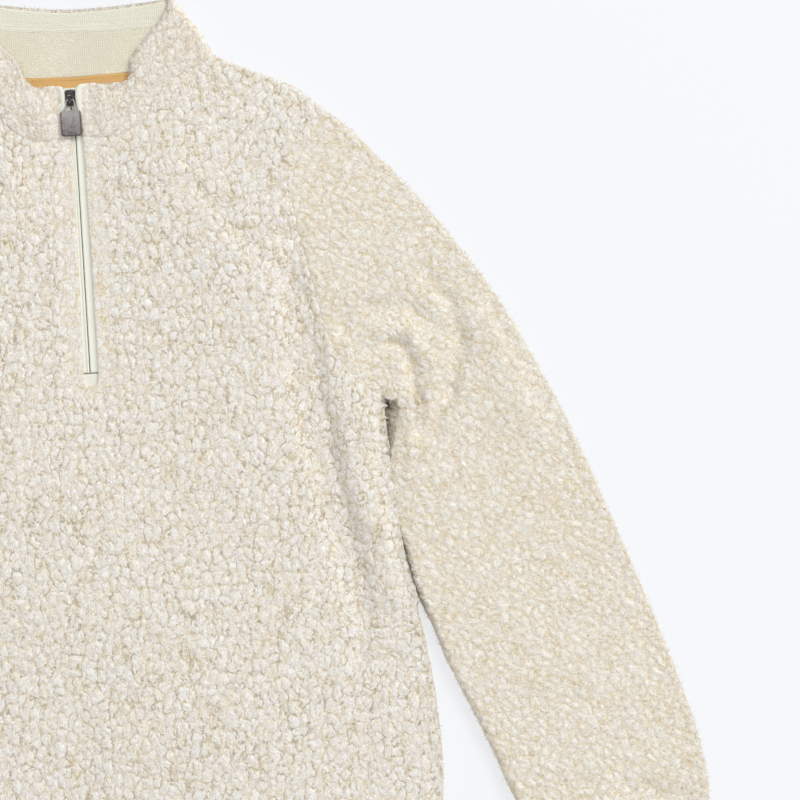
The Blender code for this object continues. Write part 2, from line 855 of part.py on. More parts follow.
def rounded_outline(half, foot, top, corner, steps=4, is_top_square=False):
    """A box outline about x = 0 with round corners."""
    points = []
    turns = ((half, foot, -90), (half, top, 0), (-half, top, 90), (-half, foot, 180))
    for x, y, start in turns:
        if y == top and is_top_square:
            points.append((x, y))
            continue
        cx = x - math.copysign(corner, x)
        cy = y + corner if y == foot else y - corner
        for i in range(steps + 1):
            angle = math.radians(start + 90 * i / steps)
            points.append((cx + corner * math.cos(angle), cy + corner * math.sin(angle)))
    return points


def make_end_tab(material, collection):
    outline = rounded_outline(TAB_HALF, TAB_FOOT - 2.0, TAB_TOP, 3.0, is_top_square=True)
    bm = prism(outline, FRONT_BOTTOM, FRONT_BOTTOM + TAB_THICK - 0.2)
    return add_object("zip_end_tab", bm, material, collection)


# ---------------------------------------------------------------- slider and pull


def joined(name, pieces, material, collection, cutters):
    """One solid from several that overlap, by a Boolean union."""
    first = add_object(name, pieces[0], material, collection)
    for i, piece in enumerate(pieces[1:]):
        other = add_object(f"{name}_tool_{i}", piece, material, cutters)
        other.hide_render = True
        other.display_type = "WIRE"
        union = first.modifiers.new(f"join_{i}", "BOOLEAN")
        union.operation = "UNION"
        union.object = other
    smooth(first)
    return first


def arch():
    """The slider's bridge: a flat bar bent over the pull's eye, along Y."""
    inside = WIRE / 2 + 0.35
    base = SLIDER_UPPER_Z + SLIDER_PLATE - 0.4
    outer_line, inner_line = [(HINGE_Y - BRIDGE_REACH, base)], []
    inner_line.append((HINGE_Y - BRIDGE_REACH + BRIDGE_THICK, base))
    inner_reach = BRIDGE_REACH - BRIDGE_THICK
    for i in range(BRIDGE_STEPS + 1):
        angle = math.pi * (1 - i / BRIDGE_STEPS)
        outer_line.append(
            (
                HINGE_Y + BRIDGE_REACH * math.cos(angle),
                HINGE_Z + (inside + BRIDGE_THICK) * math.sin(angle),
            )
        )
        inner_line.append(
            (HINGE_Y + inner_reach * math.cos(angle), HINGE_Z + inside * math.sin(angle))
        )
    outer_line.append((HINGE_Y + BRIDGE_REACH, base))
    inner_line.append((HINGE_Y + inner_reach, base))
    bm = prism([*outer_line, *reversed(inner_line)], -BRIDGE_HALF, BRIDGE_HALF)
    turn = Matrix(((0, 0, 1, ZIP_TOP_X), (1, 0, 0, 0), (0, 1, 0, 0), (0, 0, 0, 1)))
    bmesh.ops.transform(bm, matrix=turn, verts=bm.verts)
    return bm


def slider_outline(top_y):
    wide, narrow = SLIDER_WIDE / 2, SLIDER_NARROW / 2
    outline = [
        (-narrow + 1.2, SLIDER_FOOT_Y),
        (narrow - 1.2, SLIDER_FOOT_Y),
        (narrow, SLIDER_FOOT_Y + 1.6),
        (narrow + 0.2, SLIDER_FOOT_Y + 6.0),
        (wide, top_y - 3.0),
        (wide - 0.8, top_y - 0.6),
        (wide - 2.4, top_y),
        (-wide + 2.4, top_y),
        (-wide + 0.8, top_y - 0.6),
        (-wide, top_y - 3.0),
        (-narrow - 0.2, SLIDER_FOOT_Y + 6.0),
        (-narrow, SLIDER_FOOT_Y + 1.6),
    ]
    return [(x + ZIP_TOP_X, y) for x, y in outline]


def make_slider(material, collection, cutters):
    upper_top = SLIDER_UPPER_Z + SLIDER_PLATE
    upper = prism(slider_outline(SLIDER_TOP_Y), SLIDER_UPPER_Z, upper_top)
    lower_top = SLIDER_LOWER_Z + SLIDER_LOWER_PLATE
    lower = prism(slider_outline(SLIDER_LOWER_TOP_Y), SLIDER_LOWER_Z, lower_top)
    post_outline = [
        (ZIP_TOP_X - POST_HALF * 0.6, SLIDER_FOOT_Y + 5.0),
        (ZIP_TOP_X + POST_HALF * 0.6, SLIDER_FOOT_Y + 5.0),
        (ZIP_TOP_X + POST_HALF, SLIDER_LOWER_TOP_Y - 1.0),
        (ZIP_TOP_X - POST_HALF, SLIDER_LOWER_TOP_Y - 1.0),
    ]
    post = prism(post_outline, SLIDER_LOWER_Z + 0.3, upper_top - 0.3)
    return joined("zip_slider", [upper, lower, post, arch()], material, collection, cutters)


def wire_mesh(points, radius):
    """A bent wire with closed ends, as a mesh."""
    curve = bpy.data.curves.new("wire", "CURVE")
    curve.dimensions = "3D"
    curve.bevel_depth = radius
    curve.bevel_resolution = 1
    curve.use_fill_caps = True
    spline = curve.splines.new("POLY")
    spline.points.add(len(points) - 1)
    for target, source in zip(spline.points, points):
        target.co = (*source, 1.0)
    holder = bpy.data.objects.new("wire", curve)
    bpy.context.scene.collection.objects.link(holder)
    graph = bpy.context.evaluated_depsgraph_get()
    mesh = bpy.data.meshes.new_from_object(holder.evaluated_get(graph))
    bpy.data.objects.remove(holder, do_unlink=True)
    bm = bmesh.new()
    bm.from_mesh(mesh)
    bpy.data.meshes.remove(mesh)
    bmesh.ops.remove_doubles(bm, verts=bm.verts, dist=0.01)
    bmesh.ops.recalc_face_normals(bm, faces=bm.faces)
    return bm


def make_pull(material, collection, cutters):
    outline = rounded_outline(PLATE_WIDE / 2, PLATE_FOOT_Y, PLATE_TOP_Y, PLATE_CORNER)
    outline = [(x + ZIP_TOP_X, y) for x, y in outline]
    plate = prism(outline, PLATE_Z, PLATE_Z + PLATE_THICK)
    sink = 1.2
    middle = PLATE_Z + PLATE_THICK / 2
    corner = 0.9
    eye = [
        (ZIP_TOP_X - EYE_FOOT_HALF, PLATE_TOP_Y - sink, middle),
        (ZIP_TOP_X - EYE_TOP_HALF - 0.2, HINGE_Y - corner, HINGE_Z + 0.15),
        (ZIP_TOP_X - EYE_TOP_HALF + corner * 0.7, HINGE_Y, HINGE_Z),
        (ZIP_TOP_X + EYE_TOP_HALF - corner * 0.7, HINGE_Y, HINGE_Z),
        (ZIP_TOP_X + EYE_TOP_HALF + 0.2, HINGE_Y - corner, HINGE_Z + 0.15),
        (ZIP_TOP_X + EYE_FOOT_HALF, PLATE_TOP_Y - sink, middle),
    ]
    obj = joined("zip_pull", [plate, wire_mesh(eye, WIRE / 2)], material, collection, cutters)
    hinge = Vector((ZIP_TOP_X, HINGE_Y - ORIGIN_Y, HINGE_Z)) * MM
    pivot = bpy.data.objects.new("pull_hinge", None)
    pivot.location = hinge
    collection.objects.link(pivot)
    obj.parent = pivot
    obj.matrix_parent_inverse = Matrix.Translation(-hinge)
    return obj


def main():
    clear_scene()
    garment = new_collection(COLLECTION)
    cutters = new_collection("cutters", is_helper=True)
    materials = {name: make_material(name) for name in MATERIALS}
    fleece, metal = materials["fleece"], materials["gunmetal"]
    make_back(fleece, garment)
    make_front(fleece, garment)
    make_sleeve("sleeve_left", 1, fleece, garment)
    make_sleeve("sleeve_right", -1, fleece, garment)
    make_collar(fleece, garment)
    make_lining(materials["lining_knit"], garment)
    make_neck_tape(materials["mustard_tape"], garment)
    make_zip_tape("zip_tape_left", 1, materials["zip_tape"], garment)
    make_zip_tape("zip_tape_right", -1, materials["zip_tape"], garment)
    make_end_tab(materials["zip_tape"], garment)
    make_slider(metal, garment, cutters)
    make_pull(metal, garment, cutters)


main()
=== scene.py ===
"""Looks of a quarter-zip pullover of sherpa fleece, laid flat on its back.

Outlines are tables in millimetres, measured from the foot of the zip: X runs across the garment to
the wearer's left and Y up to the collar. Meshes are in metres in the frame of the solids, ORIGIN_Y
higher. Each sub-assembly is a class that builds its meshes and dresses them.
"""

import logging
import math
from dataclasses import dataclass
from enum import IntEnum
from functools import cache

import bmesh
import bpy
import numpy as np
from bpy.types import Material, Mesh, Node, NodeOutputs, NodeSocket, NodeTree, Object
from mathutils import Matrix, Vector
from mathutils.geometry import delaunay_2d_cdt
from mathutils.kdtree import KDTree
from numpy import ndarray


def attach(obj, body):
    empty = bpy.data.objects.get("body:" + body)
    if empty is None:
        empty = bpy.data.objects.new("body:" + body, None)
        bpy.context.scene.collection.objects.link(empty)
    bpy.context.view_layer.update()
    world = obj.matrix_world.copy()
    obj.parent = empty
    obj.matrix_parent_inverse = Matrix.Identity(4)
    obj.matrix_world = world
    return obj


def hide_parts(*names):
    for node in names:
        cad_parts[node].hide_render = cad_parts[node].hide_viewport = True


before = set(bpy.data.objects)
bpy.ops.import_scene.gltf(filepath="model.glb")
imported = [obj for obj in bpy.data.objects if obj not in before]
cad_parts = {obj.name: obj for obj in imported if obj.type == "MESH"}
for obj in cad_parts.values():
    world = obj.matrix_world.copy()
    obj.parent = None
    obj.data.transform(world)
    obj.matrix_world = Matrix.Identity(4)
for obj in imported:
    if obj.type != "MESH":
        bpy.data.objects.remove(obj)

LOG = logging.getLogger("pullover")
GARMENT = "garment"

Rows = tuple[tuple[float, ...], ...]
Colour = tuple[float, float, float, float]


class Side(IntEnum):
    """The wearer's sides, each by the sign of its x."""

    LEFT = 1
    RIGHT = -1

    @property
    def word(self) -> str:
        """The side as the names of pieces have it."""
        return self.name.lower()

    @property
    def mirror(self) -> ndarray:
        """What turns a plan drawn for positive x to this side."""
        return np.array([float(self), 1.0])


MM = 0.001
ORIGIN_Y = 60.25

# Levels of the layers above the surface below, in millimetres.
SEAM_LEVEL = 5.65
FRONT_TOP = 11.3
FRONT_UNDER = 5.8
COLLAR_TOP = 12.6
LINING_UNDER = 5.8
LINING_THICK = 1.0

# Outlines of the wearer's left half. The right half mirrors them.
HEM_CENTRE = (0.0, -412.0)
SIDE_SEAM: Rows = (  # x, y from the hem up to the armpit
    (262, -406), (267.5, -370), (269.5, -335), (267.5, -286), (261, -235), (252.5, -192),
    (246, -150), (242, -90), (239, -58), (240, -36),
)
HEM = np.array([HEM_CENTRE, SIDE_SEAM[0]])
ARMPIT = (240.0, -36.0)
SHOULDER_POINT = (203.0, 204.5)
ARMHOLE_HOLLOW: Rows = (  # share of the way up from the armpit, depth in from the straight line
    (0, 0), (0.08, 20), (0.23, 34), (0.46, 38.5), (0.70, 40.5), (0.80, 35.5), (0.87, 25),
    (0.94, 9.5), (1, 0),
)
SHOULDER_SEAM: Rows = (  # x, y from the neck out to the shoulder point
    (117.5, 252.5), (128, 247), (146, 239), (166, 230.5), (185.5, 220), (203, 204.5),
)
NECK_FRONT: Rows = (  # x, y from beside the zip out to the shoulder seam
    (6, 193.6), (32, 192.2), (46, 198), (58, 208), (68, 224), (84, 238), (103, 246), (117.5, 252.5),
)
NECK_BACK: Rows = (  # x, y from the middle out to the shoulder seam
    (0, 243), (45, 244.2), (88, 247.6), (117.5, 252.5),
)
COLLAR_TOP_LEFT: Rows = (  # x, y from beside the zip out to the side fold, wearer's left
    (4, 235.4), (12, 237), (38, 235.6), (46.5, 241), (48, 252), (54, 262.5), (65.5, 275), (77, 288),
    (84.5, 303.5),
)
COLLAR_TOP_RIGHT: Rows = (  # the same on the wearer's right
    (8.6, 235.4), (18, 236.6), (29.5, 235.4), (38.5, 243), (43.5, 257), (57, 272.5), (75, 290),
    (86.5, 310),
)
COLLAR_TOP_BACK_LEFT: Rows = (  # x, y from the middle out to the side fold, wearer's left
    (0, 298.8), (34, 299.4), (68, 301.6), (84.5, 303.5),
)
COLLAR_TOP_BACK_RIGHT: Rows = (  # the same on the wearer's right, where it stands taller
    (0, 298.8), (18, 300.2), (39, 303.1), (56, 305.8), (86.5, 310),
)
COLLAR_FOLD_LEFT: Rows = (  # x, y up the side fold, from the shoulder to the top
    (117.5, 252.5), (108.5, 272), (97.5, 287.5), (84.5, 303.5),
)
COLLAR_FOLD_RIGHT: Rows = (  # the same on the wearer's right
    (117.5, 252.5), (109.5, 273), (99.5, 291), (86.5, 310),
)
ZIP_SLOT: Rows = (  # y, left edge x, right edge x
    (-12.3, 0, 0), (-11.2, -3.9, 4.3), (-8, -5.6, 6.2), (-2, -5.9, 6.5), (95, -4.6, 6.5),
    (180, -3.6, 6), (193.6, -4.2, 5.4), (214, -7.2, 3.4), (236, -8.6, 4),
)
SLEEVE_UNDER: Rows = (  # x, y down the underarm fold, from the armpit to the cuff
    (240, -36), (239.6, -60), (242.4, -92), (244.6, -122), (247.4, -152), (254.6, -192),
    (267.5, -227), (280.5, -262), (303, -313), (326, -371), (350, -424),
)
ARMPIT_HOLE: Rows = (  # y from the bottom up, how far the sleeve stands off from the body there
    (-176, 0), (-156, -0.8), (-140, -3), (-94, -3), (-86, -0.6), (-80, 1), (-72, 4.5), (-64, 7.5),
    (-54, 10.6), (-45, 12.8), (-40, 11), (-36, 2), (-34.5, 0),
)
HOLE_WIDTH = 12.8
HOLE_REACH = 28.0
HOLE_FLOOR = 1.0
HOLE_WALL = 11.5
TUCK = 3.0  # how far the sleeve reaches under the body's edge, and how that sinks it
TUCK_REACH = 10.0
TUCK_DROP = 1.8
BODY_LAP: Rows = (  # y from the bottom up, how far the body's edge laps over the sleeve there
    (-236, 0), (-211, 0.2), (-204, 2.6), (-197, 3.6), (-184, 2.4), (-172, 1.3), (-150, 1), (-92, 1),
    (-80, 0),
)
UNDERARM_SHADE: Rows = (  # y from the bottom up, how dark the sleeve's fold is beside the body
    (-262, 0), (-212, 0.45), (-200, 0.9), (-160, 0.9), (-146, 0),
)
SLEEVE_OVER: Rows = (  # x, y down the outer fold, from the shoulder point to the cuff
    (203, 204.5), (219, 193.5), (251, 159), (273, 133), (312, 81), (344, 30), (381, -46),
    (402.5, -97), (430.5, -173), (457, -248), (479.5, -323), (486.5, -373), (483, -424),
)
FOLDS: tuple[Rows, ...] = (  # chains of x, y and the half width and height on from there
    (
        (170, 100, 11, -2.1), (172, 48.3, 13, -3.4), (176, -5.7, 13, -4.4), (184, -60, 12.5, -4.6),
        (193, -122, 11.5, -4.2), (205, -184.2, 9, -2.6), (212, -209.1, 9, -1.6), (207, -245.5),
    ),
    ((206, 6, 15, 1.4), (219, -52.4, 15, 2.4), (228, -135.6, 12, 1.9), (238, -202)),
    ((196, -14, 8.5, 1.5), (205, -70, 8.5, 2), (216, -136)),
    ((34.8, 165.5, 7, -0.6), (96, 146, 8, -0.9), (126, 110, 8, -1.1), (160, 72)),
    ((206, 26, 7, -0.9), (232, 40, 7, -1.2), (268, 34, 7, -1.4), (296, 14)),
    (
        (279.2, 65.1, 7, -1.1), (296.6, 41, 7, -1.5), (306, 8, 6.5, -2), (293.6, -34.4, 6.5, -2.7),
        (276.9, -66.2),
    ),
    ((214, 32.9, 4, -1.1), (208.2, 18.5)),
    ((228, 2, 4.5, -1), (246, 8, 4.5, -1.4), (258.4, 6.4)),
    ((257.4, 6.4, 4.6, -2.2), (262, -7.9, 5.2, -2.9), (267, -39.5, 5.2, -2.3), (266.5, -66)),
    ((236, 20, 7, 1.1), (262, 18, 7, 1.3), (278, -8)),
    ((258.3, -40, 4.6, 1.3), (256.9, -71.6, 4.6, 0.9), (253.6, -104.2)),
    ((326, 20, 20, 2), (356, -60)),
    ((420, -366, 8, -1.3), (478, -381)),
    (
        (-168, 104, 7, -2.6), (-182, 40, 7, -3.4), (-190, -30, 7, -3.8), (-210, -116, 7, -2.8),
        (-222, -206),
    ),
    ((-206, -20, 10, 2.8), (-226, -130)),
    ((-198, 20, 6.5, -2.4), (-240, 44, 6.5, -3), (-284, 18, 6.5, -2.8), (-290, -44)),
    ((-210, 12, 8, 3), (-264, 10)),
    ((-330, 10, 20, 2), (-350, -70)),
    ((-408, -362, 7, -2.2), (-470, -378)),
    ((-60, 150, 30, 1.4), (-120, 40)),
    ((70, 160, 34, 1.4), (130, 60)),
    ((-40, -120, 70, 1.6), (60, -300)),
)
FOLD_MARGIN = 14.0
FOLD_STRENGTH = 1.45
ARMHOLE_WAY = np.array([0.98, 0.17])
SHOULDER_WAY = np.array([0.42, 0.9])
NECK_WAY = np.array([-0.3, 0.95])
STITCH_WIDTH = 1.6
SEAM_SPREAD = 3.0  # how far from a seam the cloth is still pulled towards it
SEAM_LOFT = 0.7  # how tall the curls stand at a seam
UNDER_LOFT = 0.55  # and underneath, where they are pressed
EDGE_STEPS = (0.0, 0.12, 0.5, 1.2, 2.2, 3.5)  # distances of the first points from a rolled edge
BORDER = 9.0  # width of the flattened border beside the zip, and its levels
BORDER_LEVEL = 10.7
COLLAR_BORDER_LEVEL = 11.6

# The line where the zip's two tapes meet, which leans and rises at the collar.
ZIP_X = -0.5
ZIP_TOP_X = -2.7
TAPE_LIFT = 1.4
TAPE_LIFT_FROM = 196.0
TAPE_LIFT_TO = 219.0

LAPEL_LEFT: Rows = (  # x, y, level, half width of the facing's rolled edge, from its outer end
    (10.4, 235, 10.2, 0.7), (7.4, 234.6, 11, 1.8), (5.2, 232.6, 11.4, 2.3), (4.4, 229, 11.5, 2.5),
    (4.2, 224, 11.4, 2.4), (4.4, 218, 11.2, 2), (4.6, 211, 10.8, 1.7), (4.8, 203, 10, 1.3),
    (4.9, 196, 9.2, 0.9),
)
LAPEL_RIGHT: Rows = (  # the same on the wearer's right
    (-14.2, 234.2, 10.2, 0.7), (-11.8, 234, 11, 1.6), (-9.8, 232, 11.4, 2), (-9, 228.6, 11.5, 2.1),
    (-8.8, 224, 11.4, 1.9), (-8.6, 218, 11.2, 1.6), (-7.4, 211, 10.6, 1.3), (-5.6, 203, 9.8, 1),
    (-4.4, 196, 9, 0.7),
)


# -------- lines and grids


def smooth_path(rows: Rows, steps: int = 12) -> ndarray:
    """A dense smooth line through a table's points.

    Args:
        rows: The points, two numbers each.
        steps: Points made for each stretch between two rows.

    Returns:
        The line's points, one row each.
    """
    points = np.array(rows, float)
    ends = np.vstack([2 * points[0] - points[1], points, 2 * points[-1] - points[-2]])
    t = (np.arange(steps) / steps)[:, None]
    pieces = []
    for i in range(1, len(ends) - 2):
        before, start, stop, after = ends[i - 1 : i + 3]
        bend = (2 * before - 5 * start + 4 * stop - after) * t**2
        twist = (3 * start - before - 3 * stop + after) * t**3
        pieces.append(0.5 * (2 * start + (stop - before) * t + bend + twist))
    pieces.append(points[-1:])
    return np.vstack(pieces)


def shares_of(line: ndarray) -> ndarray:
    """Each point's share of the line's length."""
    steps = np.linalg.norm(np.diff(line, axis=0), axis=1)
    total = np.concatenate([[0.0], np.cumsum(steps)])
    return total / total[-1]


def length_of(line: ndarray) -> float:
    """The line's length."""
    return float(np.linalg.norm(np.diff(line, axis=0), axis=1).sum())


def sampled(line: ndarray, shares: ndarray) -> ndarray:
    """The points at the given shares of the line's length."""
    own = shares_of(line)
    return np.stack([np.interp(shares, own, line[:, i]) for i in range(line.shape[1])], axis=1)


def points_of(*parts: ndarray | float) -> ndarray:
    """Points from their coordinates, each spread to one shape."""
    return np.stack(np.broadcast_arrays(*parts), axis=-1)


def graded(length: float, step: float) -> ndarray:
    """Shares of a length, even in the middle and close at both ends, where cloth rolls over.

    Args:
        length: The length in millimetres.
        step: The spacing in the middle.

    Returns:
        Shares from 0 to 1.
    """
    ends = np.array(EDGE_STEPS)
    count = max(2, round((length - 2 * ends[-1]) / step))
    middle = np.linspace(ends[-1], length - ends[-1], count + 1)
    return np.concatenate([ends[:-1], middle, length - ends[-2::-1]]) / length


def patch(left: ndarray, right: ndarray, bottom: ndarray, top: ndarray) -> ndarray:
    """A grid of points between four lines that share their corners.

    Args:
        left: The line at the first column, from the bottom up.
        right: The line at the last column, with as many points.
        bottom: The line at the first row, from the left.
        top: The line at the last row, with as many points.

    Returns:
        An array of rows by columns by 2.
    """
    v = ((shares_of(left) + shares_of(right)) / 2)[:, None, None]
    u = ((shares_of(bottom) + shares_of(top)) / 2)[None, :, None]
    ruled = left[:, None] * (1 - u) + right[:, None] * u + bottom[None] * (1 - v) + top[None] * v
    low = bottom[0] * (1 - u) + bottom[-1] * u
    high = top[0] * (1 - u) + top[-1] * u
    return ruled - low * (1 - v) - high * v


def interpolated(rows: Rows, x: ndarray) -> ndarray:
    """The second column of a table at values of the first."""
    table = np.array(rows)
    return np.interp(x, table[:, 0], table[:, 1])


def bell(distance: ndarray, reach: float) -> ndarray:
    """1 at no distance, falling smoothly away past the reach."""
    return np.exp(-((distance / reach) ** 2))


def unit(way: ndarray) -> ndarray:
    """The same way, one long."""
    return way / np.linalg.norm(way)


def square_to(way: ndarray) -> ndarray:
    """The way square to another in plan, one long and to its left."""
    x, y = unit(way)
    return np.array([-y, x])


def ease(value: ndarray) -> ndarray:
    """0 below 0, 1 above 1 and a smooth rise between."""
    value = np.clip(value, 0.0, 1.0)
    return value * value * (3 - 2 * value)


def mix(low: ndarray, high: ndarray, share: ndarray) -> ndarray:
    """The value a share of the way from low to high."""
    return low + share * (high - low)


def rolled(distance: ndarray, radius: float, drop: float) -> ndarray:
    """How far cloth sinks near an edge that rolls over.

    Args:
        distance: Distances from the edge.
        radius: How far in the roll begins.
        drop: How deep the cloth lies at the edge itself.

    Returns:
        The depth at each distance.
    """
    inside = np.clip(1 - distance / radius, 0, 1)
    return drop * (1 - np.sqrt(1 - inside**2))


def in_metres(points: ndarray) -> ndarray:
    """The drawing's millimetres as metres in the frame of the solids."""
    return (points + np.array([0.0, ORIGIN_Y, 0.0])) * MM


@dataclass(frozen=True)
class CollarSide:
    """One side of the collar: which side it is and its lines, drawn for positive x."""

    side: Side
    front: Rows
    back: Rows
    fold: Rows


COLLAR_LEFT = CollarSide(Side.LEFT, COLLAR_TOP_LEFT, COLLAR_TOP_BACK_LEFT, COLLAR_FOLD_LEFT)
COLLAR_RIGHT = CollarSide(
    Side.RIGHT, COLLAR_TOP_RIGHT, COLLAR_TOP_BACK_RIGHT, COLLAR_FOLD_RIGHT
)


class Distance:
    """Distances in plan from points to a set of lines."""

    def __init__(self, *lines: ndarray, side: Side = Side.LEFT) -> None:
        """Reads each line at half a millimetre.

        Args:
            *lines: Lines in plan, drawn for positive x.
            side: The side of the garment that they lie on.
        """
        dense = [
            sampled(line * side.mirror, np.linspace(0, 1, int(length_of(line) * 2) + 2))
            for line in lines
        ]
        spots = np.vstack(dense)
        self.tree = KDTree(len(spots))
        for i, (x, y) in enumerate(spots):
            self.tree.insert((x, y, 0.0), i)
        self.tree.balance()

    def to(self, points: ndarray) -> ndarray:
        """Measures the distances in plan.

        Args:
            points: An array whose last axis starts with x, y.

        Returns:
            The distance of each point.
        """
        flat = points.reshape(-1, points.shape[-1])[:, :2].tolist()
        find = self.tree.find
        found = [find((x, y, 0.0))[2] for x, y in flat]
        return np.array(found).reshape(points.shape[:-1])


# -------- the garment's lines and levels


def hollows(shares: ndarray) -> ndarray:
    """How far the armhole lies in from its straight line at shares of the way up."""
    line = smooth_path(ARMHOLE_HOLLOW)
    return np.maximum(0.0, np.interp(shares, line[:, 0], line[:, 1]))


def armhole(count: int = 240) -> ndarray:
    """The armhole seam of the wearer's left side, from the armpit up."""
    low, high = np.array(ARMPIT), np.array(SHOULDER_POINT)
    v = np.linspace(0, 1, count)
    return low + (high - low) * v[:, None] + hollows(v)[:, None] * square_to(high - low)


def slot_edge(y: ndarray, side: Side) -> ndarray:
    """The x of the zip slot's edge on one side."""
    table = np.array(ZIP_SLOT)
    return np.interp(y, table[:, 0], table[:, 2 if side is Side.LEFT else 1])


def slot_line(side: Side, foot: float = ZIP_SLOT[0][0], top: float = ZIP_SLOT[-1][0]) -> ndarray:
    """The zip slot's edge as a line.

    Args:
        side: Which of its two edges.
        foot: The y that the line starts from.
        top: The y that it goes up to.

    Returns:
        Its points in plan.
    """
    table = np.array(ZIP_SLOT)
    inner = table[(table[:, 0] > foot) & (table[:, 0] < top), 0]
    ys = np.concatenate([[foot], inner, [top]])
    return points_of(slot_edge(ys, side), ys)


def tape_lean(y: ndarray) -> ndarray:
    """0 below the collar, 1 in it: how far the zip has leaned and risen."""
    return ease((y - TAPE_LIFT_FROM) / (TAPE_LIFT_TO - TAPE_LIFT_FROM))


def zip_line(y: ndarray) -> ndarray:
    """The x where the zip's two tapes meet."""
    return ZIP_X + tape_lean(y) * (ZIP_TOP_X - ZIP_X)


def fold_heights(points: ndarray) -> ndarray:
    """The height of the cloth's folds.

    Args:
        points: An array whose last axis starts with x, y.

    Returns:
        The height at each point, below zero in a trough.
    """
    spots = points[..., :2]
    total = np.zeros(spots.shape[:-1])
    stretches = [pair for chain in FOLDS for pair in zip(chain, chain[1:])]
    for (x0, y0, half, height), (x1, y1, *_) in stretches:
        start = np.array([x0, y0])
        way = np.array([x1 - x0, y1 - y0])
        share = np.clip((spots - start) @ way / (way @ way), 0, 1)
        gap = np.linalg.norm(spots - start - share[..., None] * way, axis=-1)
        total += height * bell(gap, half)
    return total * FOLD_STRENGTH


def at_hole(y: ndarray) -> ndarray:
    """1 at the hole under the arm, 0 above and below it."""
    return np.clip(interpolated(ARMPIT_HOLE, y) / HOLE_WIDTH, 0.0, 1.0)


def at_tuck(y: ndarray) -> ndarray:
    """1 where the sleeve is tucked under the body's edge, 0 above and below that."""
    return np.clip(-interpolated(ARMPIT_HOLE, y) / TUCK, 0.0, 1.0)


def near_slot(points: ndarray) -> ndarray:
    """The flattened border beside the zip slot.

    Args:
        points: An array whose last axis starts with x, y.

    Returns:
        1 in the border, falling to 0 past it.
    """
    x, y = points[..., 0], points[..., 1]
    foot = ZIP_SLOT[0][0]
    edge = np.where(x > 0, slot_edge(y, Side.LEFT), -slot_edge(y, Side.RIGHT))
    across = np.maximum(0.0, np.abs(x) - edge)
    below = np.maximum(0.0, foot - y)
    return ease(2.0 - np.hypot(across, below) / BORDER)


# -------- meshes


class Skin:
    """Grids of points that become one closed wall of cloth."""

    def __init__(self) -> None:
        """Starts with no points."""
        self.points: list[ndarray] = []
        self.values: dict[str, list[ndarray]] = {"loft": [], "edge": [], "deep": []}
        self.faces: list[tuple[int, ...]] = []
        self.count = 0

    def grid(
        self,
        points: ndarray,
        loft: ndarray,
        edge: ndarray,
        turned: bool = False,
        ring: bool = False,
        deep: ndarray | float = 0.0,
    ) -> ndarray:
        """Adds a grid of points and the faces between them.

        Args:
            points: Rows by columns by 3, in the drawing's millimetres.
            loft: How tall the curls stand at each point, from 0 to 1.
            edge: How near each point is to a free edge, from 0 to 1.
            turned: True where the faces turn the other way.
            ring: True where the last column joins the first.
            deep: How much painted shade each point takes, from 0 to 1, by how far down between
                layers it lies.

        Returns:
            The points' numbers, rows by columns.
        """
        rows, columns = points.shape[:2]
        numbers = self.count + np.arange(rows * columns).reshape(rows, columns)
        self.count += rows * columns
        self.points.append(points.reshape(-1, 3))
        for key, value in (("loft", loft), ("edge", edge), ("deep", deep)):
            self.values[key].append(np.broadcast_to(value, (rows, columns)).ravel())
        wide = np.hstack([numbers, numbers[:, :1]]) if ring else numbers
        corners = [wide[:-1, :-1], wide[:-1, 1:], wide[1:, 1:], wide[1:, :-1]]
        if turned:
            corners.reverse()
        self.faces += np.stack([c.ravel() for c in corners], axis=1).tolist()
        return numbers

    def join(self, one: ndarray, other: ndarray, ring: bool = False) -> None:
        """Adds the faces between two rows.

        Args:
            one: The numbers of one row's points.
            other: As many numbers of the other row's.
            ring: True where each row's last point joins its first.
        """
        if ring:
            one = np.append(one, one[0])
            other = np.append(other, other[0])
        quads = np.stack([one[:-1], one[1:], other[1:], other[:-1]], axis=1)
        self.faces += quads.tolist()

    def mesh(self, name: str) -> Mesh:
        """The mesh of all grids, in metres, with its doubles not yet merged."""
        made = bpy.data.meshes.new(name)
        made.from_pydata(in_metres(np.vstack(self.points)).tolist(), [], self.faces)
        for key, parts in self.values.items():
            layer = made.attributes.new(key, "FLOAT", "POINT")
            layer.data.foreach_set("value", np.concatenate(parts).astype(np.float32))
        return made


def welded(mesh: Mesh, floor_level: float | None = None) -> Mesh:
    """Merges doubles, closes an open skin down to a level and turns the faces outwards.

    Args:
        mesh: The mesh to mend.
        floor_level: The level in millimetres of the flat inside that closes the skin's rim.

    Returns:
        The same mesh.
    """
    bm = bmesh.new()
    bm.from_mesh(mesh)
    bmesh.ops.remove_doubles(bm, verts=bm.verts, dist=1e-5)
    if floor_level is not None:
        close_to_level(bm, floor_level * MM)
    bmesh.ops.recalc_face_normals(bm, faces=bm.faces)
    for face in bm.faces:
        face.smooth = True
    bm.to_mesh(mesh)
    bm.free()
    return mesh


